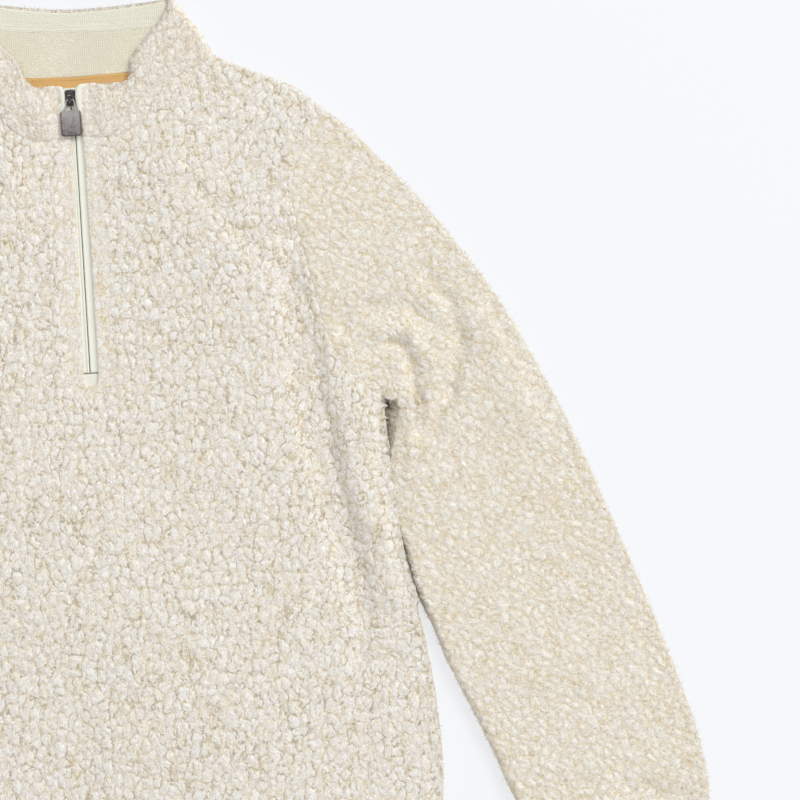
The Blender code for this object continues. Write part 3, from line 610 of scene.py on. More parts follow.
def close_to_level(bm: bmesh.types.BMesh, level: float) -> None:
    """Walls from the skin's rim to a flat inside.

    Args:
        bm: The skin, open below.
        level: The flat's level in metres.
    """
    following = {}
    for edge in [edge for edge in bm.edges if edge.is_boundary]:
        loop = edge.link_loops[0]
        following[loop.vert] = loop.link_loop_next.vert
    partner = {vert: bm.verts.new((vert.co.x, vert.co.y, level)) for vert in following}
    for start, stop in following.items():
        bm.faces.new((stop, start, partner[start], partner[stop]))
    waiting = set(following)
    while waiting:
        first = min(waiting, key=lambda vert: (vert.co.y, vert.co.x))
        around, vert = [], first
        while vert in waiting:
            waiting.remove(vert)
            around.append(partner[vert])
            vert = following[vert]
        corners = [Vector((vert.co.x, vert.co.y)) for vert in around]
        filled = delaunay_2d_cdt(corners, [], [list(range(len(corners)))], 1, 1e-9)
        for face in filled[2]:
            bm.faces.new([around[filled[3][corner][0]] for corner in face])
        for vert in around:
            for edge in vert.link_edges:
                edge.smooth = False


def add_object(name: str, mesh: Mesh, material: Material) -> Object:
    """Puts a mesh in the scene, at the origin.

    Args:
        name: The object's name.
        mesh: Its mesh.
        material: The mesh's one material.

    Returns:
        The object.
    """
    mesh.materials.clear()
    mesh.materials.append(material)
    obj = bpy.data.objects.new(name, mesh)
    bpy.context.scene.collection.objects.link(obj)
    return obj


# -------- node trees


def srgb(red: int, green: int, blue: int) -> Colour:
    """A colour given as 0 to 255 display values.

    Args:
        red: The red.
        green: The green.
        blue: The blue.

    Returns:
        The linear values that shaders take.
    """
    linear = []
    for value in (red, green, blue):
        share = value / 255
        low = share <= 0.04045
        linear.append(share / 12.92 if low else ((share + 0.055) / 1.055) ** 2.4)
    return (*linear, 1.0)


class Tree:
    """A node tree, with short ways to add nodes and join them."""

    def __init__(self, tree: NodeTree) -> None:
        """Wraps a shader or geometry tree."""
        self.tree = tree

    def feed(self, socket: NodeSocket, value: object) -> None:
        """Feeds an input.

        Args:
            socket: The input.
            value: A socket to link to it, or the value to set it to.
        """
        if isinstance(value, NodeSocket):
            self.tree.links.new(value, socket)
        else:
            socket.default_value = value

    def add(self, kind: str, feeds: dict | None = None, **settings: object) -> Node:
        """Adds a node.

        Args:
            kind: The node's type name.
            feeds: Values or sockets for its inputs, by name or number.
            **settings: The node's own settings.

        Returns:
            The node.
        """
        node = self.tree.nodes.new(kind)
        for key, value in settings.items():
            setattr(node, key, value)
        for key, value in (feeds or {}).items():
            self.feed(node.inputs[key], value)
        return node

    def math(self, operation: str, one: object, other: object = 0.0) -> NodeSocket:
        """The result of a Math node."""
        return self.add("ShaderNodeMath", {0: one, 1: other}, operation=operation).outputs[0]

    def plus(self, one: object, other: object) -> NodeSocket:
        """The sum of two values."""
        return self.math("ADD", one, other)

    def minus(self, one: object, other: object) -> NodeSocket:
        """The first value less the second."""
        return self.math("SUBTRACT", one, other)

    def times(self, one: object, other: object) -> NodeSocket:
        """The product of two values."""
        return self.math("MULTIPLY", one, other)

    def held(self, value: object) -> NodeSocket:
        """The value held between 0 and 1."""
        return self.math("MAXIMUM", self.math("MINIMUM", value, 1.0), 0.0)

    def vector(self, operation: str, one: object, other: object) -> NodeSocket:
        """The result of a Vector Math node. Scale takes a number as the second value."""
        second = 3 if operation == "SCALE" else 1
        feeds = {0: one, second: other}
        return self.add("ShaderNodeVectorMath", feeds, operation=operation).outputs[0]

    def step(self, value: object, low: float, high: float, to_low: float, to_high: float) -> object:
        """A value mapped smoothly from one range to another, and clamped."""
        feeds = {0: value, 1: low, 2: high, 3: to_low, 4: to_high}
        node = self.add("ShaderNodeMapRange", feeds, interpolation_type="SMOOTHSTEP")
        return node.outputs[0]

    def noise(self, place: object, scale: object, detail: float = 2.0) -> Node:
        """A Noise node: output 0 is a value about one half, and output 1 a colour."""
        feeds = {"Vector": place, "Scale": scale, "Detail": detail}
        return self.add("ShaderNodeTexNoise", feeds, noise_dimensions="3D")

    def cloud(self, place: object, scale: object, detail: float) -> NodeSocket:
        """Noise about zero."""
        return self.minus(self.noise(place, scale, detail).outputs[0], 0.5)

    def swayed(self, place: object, scale: float, reach: float) -> NodeSocket:
        """A place moved about by noise, by half a reach each way."""
        way = self.vector("SUBTRACT", self.noise(place, scale, 1.0).outputs[1], (0.5, 0.5, 0.5))
        return self.vector("ADD", place, self.vector("SCALE", way, reach))

    def cell_edges(self, spot: object, scale: float, uneven: float) -> NodeSocket:
        """The distance to the nearest edge between the cells round scattered points."""
        feeds = {"Vector": spot, "Scale": scale, "Randomness": uneven}
        cells = self.add("ShaderNodeTexVoronoi", feeds, feature="DISTANCE_TO_EDGE")
        return cells.outputs["Distance"]

    def parts(self, value: object) -> NodeOutputs:
        """A vector's X, Y and Z."""
        return self.add("ShaderNodeSeparateXYZ", {0: value}).outputs

    def on_object(self) -> NodeSocket:
        """The object coordinates."""
        return self.add("ShaderNodeTexCoord").outputs["Object"]

    def stored(self, name: str, output: str = "Fac") -> NodeSocket:
        """What the mesh stores at each point, as a material reads it."""
        return self.add("ShaderNodeAttribute", attribute_name=name).outputs[output]

    def blend(self, share: object, one: object, other: object) -> NodeSocket:
        """A mix of two colours."""
        node = self.add("ShaderNodeMix", {0: share, 6: one, 7: other}, data_type="RGBA")
        return node.outputs[2]


def new_tree(name: str, kind: str, inputs: dict[str, str], outputs: dict[str, str]) -> Tree:
    """A node group with named sockets.

    Args:
        name: The group's name.
        kind: ShaderNodeTree or GeometryNodeTree.
        inputs: What each input takes, by name: Float, Int, Vector, Color, Geometry or Material.
        outputs: The same for the outputs.

    Returns:
        The group, holding only its input and output nodes.
    """
    tree = bpy.data.node_groups.new(name, kind)
    for way, sockets in (("INPUT", inputs), ("OUTPUT", outputs)):
        for key, socket in sockets.items():
            tree.interface.new_socket(key, in_out=way, socket_type=f"NodeSocket{socket}")
    tree.nodes.new("NodeGroupInput")
    tree.nodes.new("NodeGroupOutput")
    return Tree(tree)


def new_shape_tree(name: str, sizes: dict[str, str]) -> Tree:
    """A geometry tree that takes a mesh, its sizes and a material, and gives a mesh."""
    inputs = {"Geometry": "Geometry", **sizes, "Material": "Material"}
    return new_tree(name, "GeometryNodeTree", inputs, {"Geometry": "Geometry"})


def entry(tree: Tree) -> NodeOutputs:
    """The outputs of a group's input node."""
    return tree.tree.nodes["Group Input"].outputs


def leave(tree: Tree, feeds: dict[str, object]) -> None:
    """Feeds a group's outputs by name."""
    node = tree.tree.nodes["Group Output"]
    for key, value in feeds.items():
        tree.feed(node.inputs[key], value)


def leave_shape(tree: Tree, shape: NodeSocket) -> None:
    """Ends a geometry tree with plain geometry in its material.

    Args:
        tree: The tree.
        shape: What it made, instances or geometry.
    """
    feeds = {
        "Geometry": tree.add("GeometryNodeRealizeInstances", {0: shape}).outputs[0],
        "Material": entry(tree)["Material"],
    }
    leave(tree, {"Geometry": tree.add("GeometryNodeSetMaterial", feeds).outputs[0]})


def stored_place(tree: Tree, shape: object, name: str, place: object) -> NodeSocket:
    """The shape, with each point's place stored under a name."""
    feeds = {"Geometry": shape, "Name": name, "Value": place}
    kept = {"data_type": "FLOAT_VECTOR", "domain": "POINT"}
    return tree.add("GeometryNodeStoreNamedAttribute", feeds, **kept).outputs[0]


def moved_above(tree: Tree, shape: object, place: object, lowest: float) -> NodeSocket:
    """Moves a shape.

    Args:
        tree: The tree to add the nodes to.
        shape: The geometry.
        place: Where each point goes.
        lowest: The level in metres that no point goes below.

    Returns:
        The moved geometry.
    """
    parts = tree.parts(place)
    feeds = {"X": parts["X"], "Y": parts["Y"], "Z": tree.math("MAXIMUM", parts["Z"], lowest)}
    feeds = {"Geometry": shape, "Position": tree.add("ShaderNodeCombineXYZ", feeds).outputs[0]}
    return tree.add("GeometryNodeSetPosition", feeds).outputs[0]


def value_at(tree: Tree, name: str) -> NodeSocket:
    """What the mesh stores at each point under a name, as a geometry tree reads it."""
    feeds = {"Name": name}
    return tree.add("GeometryNodeInputNamedAttribute", feeds, data_type="FLOAT").outputs[0]


# The curls' shape in curl sizes.
BENDS = ((0.6, 0.45), (1.3, 0.22), (2.6, 0.17), (5.5, 0.14))  # scale and reach, broad to fine
UNEVEN = 0.82
CURL_SHAPE = (1.16, 0.86, 1.0)
STRINGS = (1.7, 0.5, 1.0)  # the same for the strands that lie along the curls


def curl_cells(
    tree: Tree, place: object, size: object, grain: object
) -> tuple[NodeSocket, NodeSocket, NodeSocket]:
    """The cells that the curls fill. The same nodes shape the mesh and colour it.

    Args:
        tree: The tree to add the nodes to.
        place: The cloth's place in metres, before it was raised.
        size: The curls' size in metres.
        grain: The angle from the cloth's length to the way the curls lie.

    Returns:
        The distance from the cells' edges and a random value for each cell, both in curl sizes,
        and the place in curl sizes.
    """
    feeds = {"Vector": place, "Angle": grain}
    turned = tree.add("ShaderNodeVectorRotate", feeds, rotation_type="Z_AXIS")
    spot = tree.vector("MULTIPLY", turned.outputs[0], CURL_SHAPE)
    spot = tree.vector("SCALE", spot, tree.math("DIVIDE", 1.0, size))
    for scale, reach in BENDS:
        spot = tree.swayed(spot, scale, 2.0 * reach)
    feeds = {"Vector": spot, "Scale": 1.0, "Randomness": UNEVEN}
    cells = tree.add("ShaderNodeTexVoronoi", feeds, feature="F1")
    return tree.cell_edges(spot, 1.0, UNEVEN), tree.parts(cells.outputs["Color"])[0], spot


def new_material(name: str) -> tuple[Material, Tree]:
    """A new material, and its tree with a Principled shader in it."""
    made = bpy.data.materials.new(name)
    made.use_nodes = True
    return made, Tree(made.node_tree)


def dress_shader(
    tree: Tree, feeds: dict[str, object], bump: tuple[object, float, float] | None = None
) -> None:
    """Feeds a material's shader.

    Args:
        tree: The material's tree.
        feeds: Values or sockets for the shader's inputs, by name.
        bump: A height that varies, the bump's strength and its distance in metres.
    """
    if bump:
        raised = tree.add("ShaderNodeBump", dict(zip(("Height", "Strength", "Distance"), bump)))
        feeds = {**feeds, "Normal": raised.outputs[0]}
    shader = tree.tree.nodes["Principled BSDF"]
    for key, value in feeds.items():
        tree.feed(shader.inputs[key], value)


# -------- finishes


@dataclass(frozen=True)
class Fleece:
    """Sherpa fleece: cream curls over a tan ground, with painted shade in the narrow creases
    between them, deep under the arm and near free edges.
    """

    name: str
    curl: float = 0.0086
    grain: float = 0.0
    tip: Colour = srgb(252, 248, 240)
    wool: Colour = srgb(249, 246, 243)
    ground: Colour = srgb(241, 222, 186)
    # The crease colour is painted shade, laid in the narrow creases between the curls.
    crease: Colour = srgb(176, 167, 152)
    # Painted shade: the dark brown laid deep in the hole under the arm and along the sleeve's fold
    # beside the body.
    inside: Colour = srgb(92, 77, 63)
    softness: float = 0.2
    crease_depth: float = 0.74
    bump: float = 0.5

    def material(self) -> Material:
        """The fleece's material, reading the stored place and loft of each point."""
        made, tree = new_material(self.name)
        feeds = {
            "Place": tree.stored("rest", "Vector"),
            "Curl Size": self.curl,
            "Grain": math.radians(self.grain),
            "Softness": self.softness,
            "Crease Depth": self.crease_depth,
        }
        for key in ("Loft", "Deep", "Edge"):
            feeds[key] = tree.stored(key.lower())
        for key in ("Inside", "Tip", "Wool", "Ground", "Crease"):
            feeds[key] = getattr(self, key.lower())
        wool = tree.add("ShaderNodeGroup", feeds, node_tree=wool_group()).outputs
        feeds = {
            "Base Color": wool["Colour"],
            "Roughness": 1.0,
            "Specular IOR Level": 0.15,
            "Sheen Weight": 0.12,
            "Sheen Roughness": 0.6,
        }
        dress_shader(tree, feeds, (wool["Height"], self.bump, 0.0012))
        return made


@cache
def wool_group() -> NodeTree:
    """The shader group that colours fleece, built once."""
    numbers = ("Loft", "Deep", "Edge", "Curl Size", "Grain", "Softness", "Crease Depth")
    inputs = {"Place": "Vector", **dict.fromkeys(numbers, "Float")}
    inputs |= dict.fromkeys(("Inside", "Tip", "Wool", "Ground", "Crease"), "Color")
    tree = new_tree("Wool", "ShaderNodeTree", inputs, {"Colour": "Color", "Height": "Float"})
    ins = entry(tree)
    edge, lone, spot = curl_cells(tree, ins["Place"], ins["Curl Size"], ins["Grain"])
    fibre = tree.cloud(spot, 3.4, 2.0)
    speck = tree.cloud(spot, 8.5, 1.0)
    broad = tree.noise(spot, 0.14, 2.0).outputs[0]
    lobes = tree.cell_edges(spot, 2.1, 1.0)
    parting = tree.step(tree.plus(lobes, tree.times(fibre, 0.2)), 0.0, 0.16, 1.0, 0.0)
    # The curls' frayed outlines: a soft tan halo, a narrow crease that takes painted shade and the
    # crown between them.
    frayed = tree.plus(edge, tree.times(fibre, 0.24))
    halo = tree.step(frayed, 0.0, ins["Softness"], 1.0, 0.0)
    narrow = tree.step(frayed, -0.03, 0.1, 1.0, 0.0)
    crown = tree.step(frayed, 0.02, 0.3, 0.0, 1.0)
    strings = tree.vector("MULTIPLY", spot, STRINGS)
    broken = tree.step(tree.noise(strings, 0.9, 1.0).outputs[0], 0.38, 0.62, 0.24, 1.0)
    worn = tree.step(tree.noise(spot, 0.8, 1.0).outputs[0], 0.42, 0.72, 0.0, 0.24)
    worn = tree.plus(worn, tree.step(broad, 0.42, 0.75, 0.0, 0.05))
    # The colour, from the tips of the curls down.
    own = tree.plus(tree.times(lone, 0.6), 0.3)
    colour = tree.blend(tree.times(crown, own), ins["Wool"], ins["Tip"])
    tan = tree.times(halo, tree.plus(tree.times(broken, 0.38), 0.18))
    tan = tree.plus(tree.plus(tan, tree.times(parting, 0.35)), worn)
    colour = tree.blend(tree.math("MINIMUM", tan, 1.0), colour, ins["Ground"])
    # Painted shade in the narrow creases, broken up by noise and fainter where the curls are
    # pressed flat.
    dark = tree.times(tree.times(narrow, broken), ins["Crease Depth"])
    colour = tree.blend(tree.times(dark, ins["Loft"]), colour, ins["Crease"])
    # Painted shade: deep in the hole under the arm and beside the body the colour turns dark brown,
    # patchy with noise.
    shade_mottle = tree.step(tree.noise(strings, 1.9, 2.0).outputs[0], 0.36, 0.62, 0.4, 1.0)
    colour = tree.blend(tree.times(ins["Deep"], shade_mottle), colour, ins["Inside"])
    # How bright each strand is, and how high it stands.
    value = tree.plus(tree.times(fibre, 0.5), tree.times(speck, 0.8))
    value = tree.plus(tree.plus(value, tree.times(lone, 0.02)), 0.99)
    # Painted shade: the colour darkens near free edges, where the rolled cloth turns away from the
    # light.
    value = tree.minus(value, tree.times(ins["Edge"], 0.11))
    height = tree.times(tree.times(crown, ins["Loft"]), 0.35)
    height = tree.minus(height, tree.times(parting, 0.25))
    height = tree.plus(height, tree.times(fibre, 1.3))
    height = tree.plus(height, tree.times(speck, 0.6))
    leave(tree, {"Colour": tree.vector("SCALE", colour, value), "Height": height})
    return tree.tree


@dataclass(frozen=True)
class Knit:
    """A fine honeycomb knit, paler where it lies double, as the collar's lining is."""

    name: str
    colour: Colour = srgb(250, 243, 221)
    band: Colour = srgb(253, 249, 231)
    hollow: Colour = srgb(219, 210, 184)
    cell: float = 0.0017

    def material(self) -> Material:
        """The knit's material on object coordinates. The stored loft says where it lies double."""
        made, tree = new_material(self.name)
        place, double = tree.on_object(), tree.stored("loft")
        edges = tree.cell_edges(tree.vector("SCALE", place, 1 / self.cell), 1.0, 0.4)
        raised = tree.step(edges, 0.02, 0.34, 1.0, 0.0)
        # The hollows between the raised cells take painted shade, mixed with a random mottle, and
        # less of it where the knit lies double.
        share = tree.times(tree.minus(1.0, raised), 0.5)
        share = tree.plus(share, tree.times(tree.cloud(place, 160.0, 2.0), 0.3))
        share = tree.times(tree.math("MAXIMUM", share, 0.0), tree.step(double, 0.0, 1.0, 1.0, 0.5))
        colour = tree.blend(share, tree.blend(double, self.colour, self.band), self.hollow)
        feeds = {"Base Color": colour, "Roughness": 0.95, "Specular IOR Level": 0.2}
        dress_shader(tree, feeds, (raised, 0.7, 0.0005))
        return made


@dataclass(frozen=True)
class Ribbed:
    """A woven tape with fine ribs, such as zip tape or twill."""

    name: str
    colour: Colour
    groove: Colour
    pitch: float = 0.0009
    slant: float = 0.0
    strength: float = 0.4

    def material(self) -> Material:
        """The tape's material on object coordinates."""
        made, tree = new_material(self.name)
        place = tree.on_object()
        feeds = {"Vector": place, "Rotation": (0.0, 0.0, math.radians(self.slant))}
        turned = tree.add("ShaderNodeMapping", feeds).outputs[0]
        spot = tree.vector("SCALE", turned, 1 / self.pitch)
        feeds = {"Vector": spot, "Scale": math.tau / 20.0, "Distortion": 0.5, "Detail": 1.0}
        waves = {"wave_type": "BANDS", "bands_direction": "Y"}
        ribs = tree.add("ShaderNodeTexWave", feeds, **waves).outputs["Fac"]
        share = tree.plus(tree.times(ribs, 0.35), tree.times(tree.cloud(place, 260.0, 3.0), 0.7))
        colour = tree.blend(tree.held(share), self.colour, self.groove)
        feeds = {"Base Color": colour, "Roughness": 0.85, "Specular IOR Level": 0.25}
        dress_shader(tree, feeds, (ribs, self.strength, 0.0002))
        return made


@dataclass(frozen=True)
class Plain:
    """A thread or a small part of one colour, with a faint mottle."""

    name: str
    colour: Colour
    shade: Colour
    roughness: float = 0.8

    def material(self) -> Material:
        """The material on object coordinates."""
        made, tree = new_material(self.name)
        mottle = tree.noise(tree.on_object(), 700.0, 2.0).outputs[0]
        colour = tree.blend(tree.step(mottle, 0.3, 0.7, 0.0, 1.0), self.colour, self.shade)
        dress_shader(tree, {"Base Color": colour, "Roughness": self.roughness})
        return made


@dataclass(frozen=True)
class Metal:
    """Brushed gunmetal with darker tarnished patches, a plate's rim of painted shade and its paler
    head, and a painted highlight on the slider.
    """

    name: str
    colour: Colour = srgb(166, 158, 154)
    # Tarnish in patches, and the painted shade on a plate's rim.
    tarnish: Colour = srgb(96, 90, 88)
    # The plate's paler head, and the colour of the slider's painted highlight.
    pale: Colour = srgb(214, 210, 206)
    roughness: float = 0.4
    plate: tuple[float, float, float, float] | None = None
    rim: float = 0.0016
    glint: tuple[float, float, float] | None = None

    def glint_of(self, tree: Tree, place: object) -> object:
        """The painted highlight, a bright spot on the slider's crown.

        Args:
            tree: The material's tree.
            place: The object coordinates.

        Returns:
            How much of it shows at a place.
        """
        x, y, radius = self.glint
        parts = tree.parts(place)
        across = tree.times(tree.minus(parts["X"], x), 0.5)
        along = tree.minus(parts["Y"], y)
        far = tree.plus(tree.math("ABSOLUTE", across), tree.math("ABSOLUTE", along))
        return tree.step(far, 0.5 * radius, radius, 0.9, 0.0)

    def rim_of(self, tree: Tree, place: object) -> tuple[object, object]:
        """The plate's rim of painted shade and its paler head.

        Args:
            tree: The material's tree.
            place: The object coordinates.

        Returns:
            How near a place is to the rim, and how near to the head or past it.
        """
        middle, half, foot, head = self.plate
        parts = tree.parts(place)
        across = tree.math("ABSOLUTE", tree.minus(parts["X"], middle))
        sides = tree.step(across, half - self.rim, half - 0.3 * self.rim, 0.0, 1.0)
        low = tree.step(parts["Y"], foot + 0.3 * self.rim, foot + self.rim, 1.0, 0.0)
        up = tree.step(parts["Y"], foot, head, 0.0, 0.62)
        wire = tree.step(parts["Y"], head, head + self.rim, 0.0, 0.5)
        rim = tree.math("MAXIMUM", sides, low)
        return tree.times(rim, 0.8), tree.plus(up, wire)

    def material(self) -> Material:
        """The metal's material on object coordinates."""
        made, tree = new_material(self.name)
        place = tree.on_object()
        feeds = {"Vector": place, "Scale": (2600.0, 320.0, 900.0)}
        brushed = tree.cloud(tree.add("ShaderNodeMapping", feeds).outputs[0], 1.0, 3.0)
        share = tree.step(tree.noise(place, 320.0, 3.0).outputs[0], 0.4, 0.64, 0.0, 0.75)
        share = tree.held(tree.plus(share, tree.times(brushed, 0.8)))
        colour = tree.blend(share, self.colour, self.tarnish)
        if self.plate:
            rim, up = self.rim_of(tree, place)
            colour = tree.blend(up, colour, self.pale)
            # Painted shade along the plate's bevelled rim.
            colour = tree.blend(rim, colour, self.tarnish)
        # Painted highlight: a bright spot on the slider's crown.
        if self.glint:
            colour = tree.blend(self.glint_of(tree, place), colour, self.pale)
        feeds = {"Base Color": colour, "Metallic": 0.9, "Roughness": self.roughness}
        dress_shader(tree, feeds, (brushed, 0.3, 0.0001))
        return made


# -------- geometry node trees


@cache
def relief_tree() -> NodeTree:
    """The tree that raises curls on a skin and stores each point's place before it."""
    sizes = {"Curl Size": "Float", "Grain": "Float", "Height": "Float", "Lump Height": "Float"}
    tree = new_shape_tree("Curl relief", sizes)
    ins = entry(tree)
    place = tree.add("GeometryNodeInputPosition").outputs[0]
    stored = stored_place(tree, ins["Geometry"], "rest", place)
    edge, lone, spot = curl_cells(tree, place, ins["Curl Size"], ins["Grain"])
    own = tree.plus(tree.times(lone, 0.5), 0.6)
    high = tree.minus(tree.times(tree.step(edge, 0.0, 0.4, 0.0, 1.0), own), 0.5)
    high = tree.times(high, ins["Height"])
    high = tree.plus(high, tree.times(tree.cloud(spot, 0.45, 2.0), ins["Lump Height"]))
    high = tree.times(high, value_at(tree, "loft"))
    offset = tree.vector("SCALE", tree.add("GeometryNodeInputNormal").outputs[0], high)
    leave_shape(tree, moved_above(tree, stored, tree.vector("ADD", place, offset), 0.0))
    return tree.tree


@cache
def wisp_tree() -> NodeTree:
    """The tree that stands tapered wisps of wool on a skin's free edges."""
    sizes = {"Density": "Float", "Length": "Float", "Thickness": "Float", "Seed": "Int"}
    tree = new_shape_tree("Wool wisps", sizes)
    ins = entry(tree)
    density = tree.times(ins["Density"], value_at(tree, "edge"))
    feeds = {"Mesh": ins["Geometry"], "Density": density, "Seed": ins["Seed"]}
    spread = tree.add("GeometryNodeDistributePointsOnFaces", feeds, distribute_method="RANDOM")
    place = tree.add("GeometryNodeInputPosition").outputs[0]
    feeds = {
        "Vertices": 3,
        "Side Segments": 3,
        "Radius Top": tree.times(ins["Thickness"], 0.25),
        "Radius Bottom": ins["Thickness"],
        "Depth": ins["Length"],
    }
    cone = tree.add("GeometryNodeMeshCone", feeds, fill_type="NGON")
    feeds = {0: (-0.9, -0.9, -3.1), 1: (0.9, 0.9, 3.1), "Seed": ins["Seed"]}
    tilt = tree.add("FunctionNodeRandomValue", feeds, data_type="FLOAT_VECTOR").outputs[0]
    feeds = {"Rotation": spread.outputs["Rotation"], "Rotate By": tilt}
    turn = tree.add("FunctionNodeRotateRotation", feeds, rotation_space="LOCAL")
    feeds = {2: 0.55, 3: 1.25, "Seed": ins["Seed"]}
    size = tree.add("FunctionNodeRandomValue", feeds, data_type="FLOAT")
    feeds = {
        "Points": stored_place(tree, spread.outputs["Points"], "root", place),
        "Instance": cone.outputs["Mesh"],
        "Rotation": turn.outputs[0],
        "Scale": size.outputs[1],
    }
    placed = tree.add("GeometryNodeInstanceOnPoints", feeds).outputs[0]
    realised = tree.add("GeometryNodeRealizeInstances", {0: placed}).outputs[0]
    leave_shape(tree, moved_above(tree, realised, tree.swayed(place, 420.0, 0.0022), 0.0002))
    return tree.tree


@cache
def stitch_tree() -> NodeTree:
    """The tree that lays stitches or zip teeth along lines."""
    sizes = {"Pitch": "Float", "Size": "Vector", "Turn": "Float", "Sides": "Int"}
    tree = new_shape_tree("Stitches", sizes)
    ins = entry(tree)
    curve = tree.add("GeometryNodeMeshToCurve", {0: ins["Geometry"]}).outputs[0]
    feeds = {"Curve": curve, "Length": ins["Pitch"]}
    spread = tree.add("GeometryNodeCurveToPoints", feeds, mode="LENGTH")
    feeds = {"Vector": spread.outputs["Tangent"]}
    along = tree.add("FunctionNodeAlignRotationToVector", feeds, axis="X", pivot_axis="Z")
    turn = tree.add("ShaderNodeCombineXYZ", {"Z": ins["Turn"]}).outputs[0]
    feeds = {0: along.outputs[0], 1: turn}
    turned = tree.add("FunctionNodeRotateRotation", feeds, rotation_space="LOCAL")
    feeds = {"Segments": ins["Sides"], "Rings": 4, "Radius": 0.5}
    feeds = {
        "Points": spread.outputs["Points"],
        "Instance": tree.add("GeometryNodeMeshUVSphere", feeds).outputs["Mesh"],
        "Rotation": turned.outputs[0],
        "Scale": ins["Size"],
    }
    leave_shape(tree, tree.add("GeometryNodeInstanceOnPoints", feeds).outputs[0])
    return tree.tree


@dataclass(frozen=True)
class Stitch:
    """One kind of stitch or tooth: its pitch and size in millimetres and its slant in degrees."""

    pitch: float
    length: float
    width: float
    height: float
    slant: float = 0.0
    sides: int = 6

    def along(self, name: str, line: ndarray, material: Material, slot: str) -> Object:
        """Lays the stitches along a line of points in the drawing's millimetres.

        Args:
            name: The new object's name.
            line: The line's points, three numbers each.
            material: What the stitches are made of.
            slot: Not used.

        Returns:
            The object, which rides on the garment.
        """
        mesh = bpy.data.meshes.new(name)
        ends = [(i, i + 1) for i in range(len(line) - 1)]
        mesh.from_pydata(in_metres(line).tolist(), ends, [])
        obj = add_object(name, mesh, material)
        values = {
            "Pitch": self.pitch * MM,
            "Size": [self.length * MM, self.width * MM, self.height * MM],
            "Turn": math.radians(self.slant),
            "Sides": self.sides,
            "Material": material,
        }
        grow(obj, stitch_tree(), values)
        obj.data.shade_smooth()
        return ride_as(obj)


def grow(obj: Object, tree: NodeTree, values: dict[str, object]) -> None:
    """Runs a geometry tree on an object and keeps the result as its plain mesh.

    Args:
        obj: The object.
        tree: The geometry tree.
        values: Its inputs by name.
    """
    modifier = obj.modifiers.new(tree.name, "NODES")
    modifier.node_group = tree
    for item in tree.interface.items_tree:
        if item.item_type == "SOCKET" and item.in_out == "INPUT" and item.name in values:
            modifier[item.identifier] = values[item.name]
    graph = bpy.context.evaluated_depsgraph_get()
    graph.update()
    made = bpy.data.meshes.new_from_object(
        obj.evaluated_get(graph), preserve_all_data_layers=True, depsgraph=graph
    )
    obj.modifiers.clear()
    obj.data = made


def ride_as(obj: Object) -> Object:
    """Lets an object ride on the garment, and reports how many triangles it has.

    Args:
        obj: The object.

    Returns:
        The object.
    """
    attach(obj, GARMENT)
    count = sum(len(polygon.vertices) - 2 for polygon in obj.data.polygons)
    LOG.info("%s: %d triangles", obj.name, count)
    return obj


# -------- fleece pieces


@dataclass
class FleecePiece:
    """What the fleece pieces share: their finish, curls, wisps, rolled edges and seams.

    Curls and wisps are in metres and the rest in millimetres.
    """

    finish: Fleece
    curl_height: float = 0.0010
    lump_height: float = 0.0012
    wisp_length: float = 0.0030
    wisp_thickness: float = 0.00019
    roll: float = 5.0
    seam_roll: float = 4.0
    seam_drop: float = 1.3
    seam_reach: float = 0.7
    loft_reach: float = 5.0
    edge_reach: float = 5.0
    stitch_groove: float = 1.3
    stitch_loft: float = 0.5
    under_relief: float = 1.3

    def seam_depth(self, sewn: ndarray) -> ndarray:
        """How far the cloth sinks, by the distance from a seam."""
        return rolled(sewn, self.seam_roll, self.seam_drop)

    def seam_loft(self, sewn: ndarray) -> ndarray:
        """How tall the curls stand, by the distance from a seam."""
        return mix(SEAM_LOFT, 1.0, ease(sewn / self.loft_reach))

    def sewn(self, name: str, skin: Skin, floor_level: float | None = None) -> Object:
        """Closes a skin, raises its curls and gives it its finish and body.

        Args:
            name: The piece's name.
            skin: Its grids.
            floor_level: The level of the flat inside, where the skin is open below.

        Returns:
            The piece.
        """
        material = bpy.data.materials.get(self.finish.name) or self.finish.material()
        obj = add_object(name, welded(skin.mesh(name), floor_level), material)
        values = {
            "Curl Size": self.finish.curl,
            "Grain": math.radians(self.finish.grain),
            "Height": self.curl_height,
            "Lump Height": self.lump_height,
            "Material": material,
        }
        grow(obj, relief_tree(), values)
        obj.data.shade_smooth()
        return ride_as(obj)

    def add_wisps(self, obj: Object, density: float, seed: int) -> Object:
        """Stands wisps of wool on the piece's free edges, as a piece of their own.

        Args:
            obj: The piece.
            density: Wisps for each square metre along the edges.
            seed: The seed of their places, turns and sizes.

        Returns:
            The wisps.
        """
        made = bpy.data.objects.new(f"{obj.name}_wisps", obj.data.copy())
        bpy.context.scene.collection.objects.link(made)
        values = {
            "Density": density,
            "Length": self.wisp_length,
            "Thickness": self.wisp_thickness,
            "Seed": seed,
            "Material": obj.data.materials[0],
        }
        grow(made, wisp_tree(), values)
        return ride_as(made)


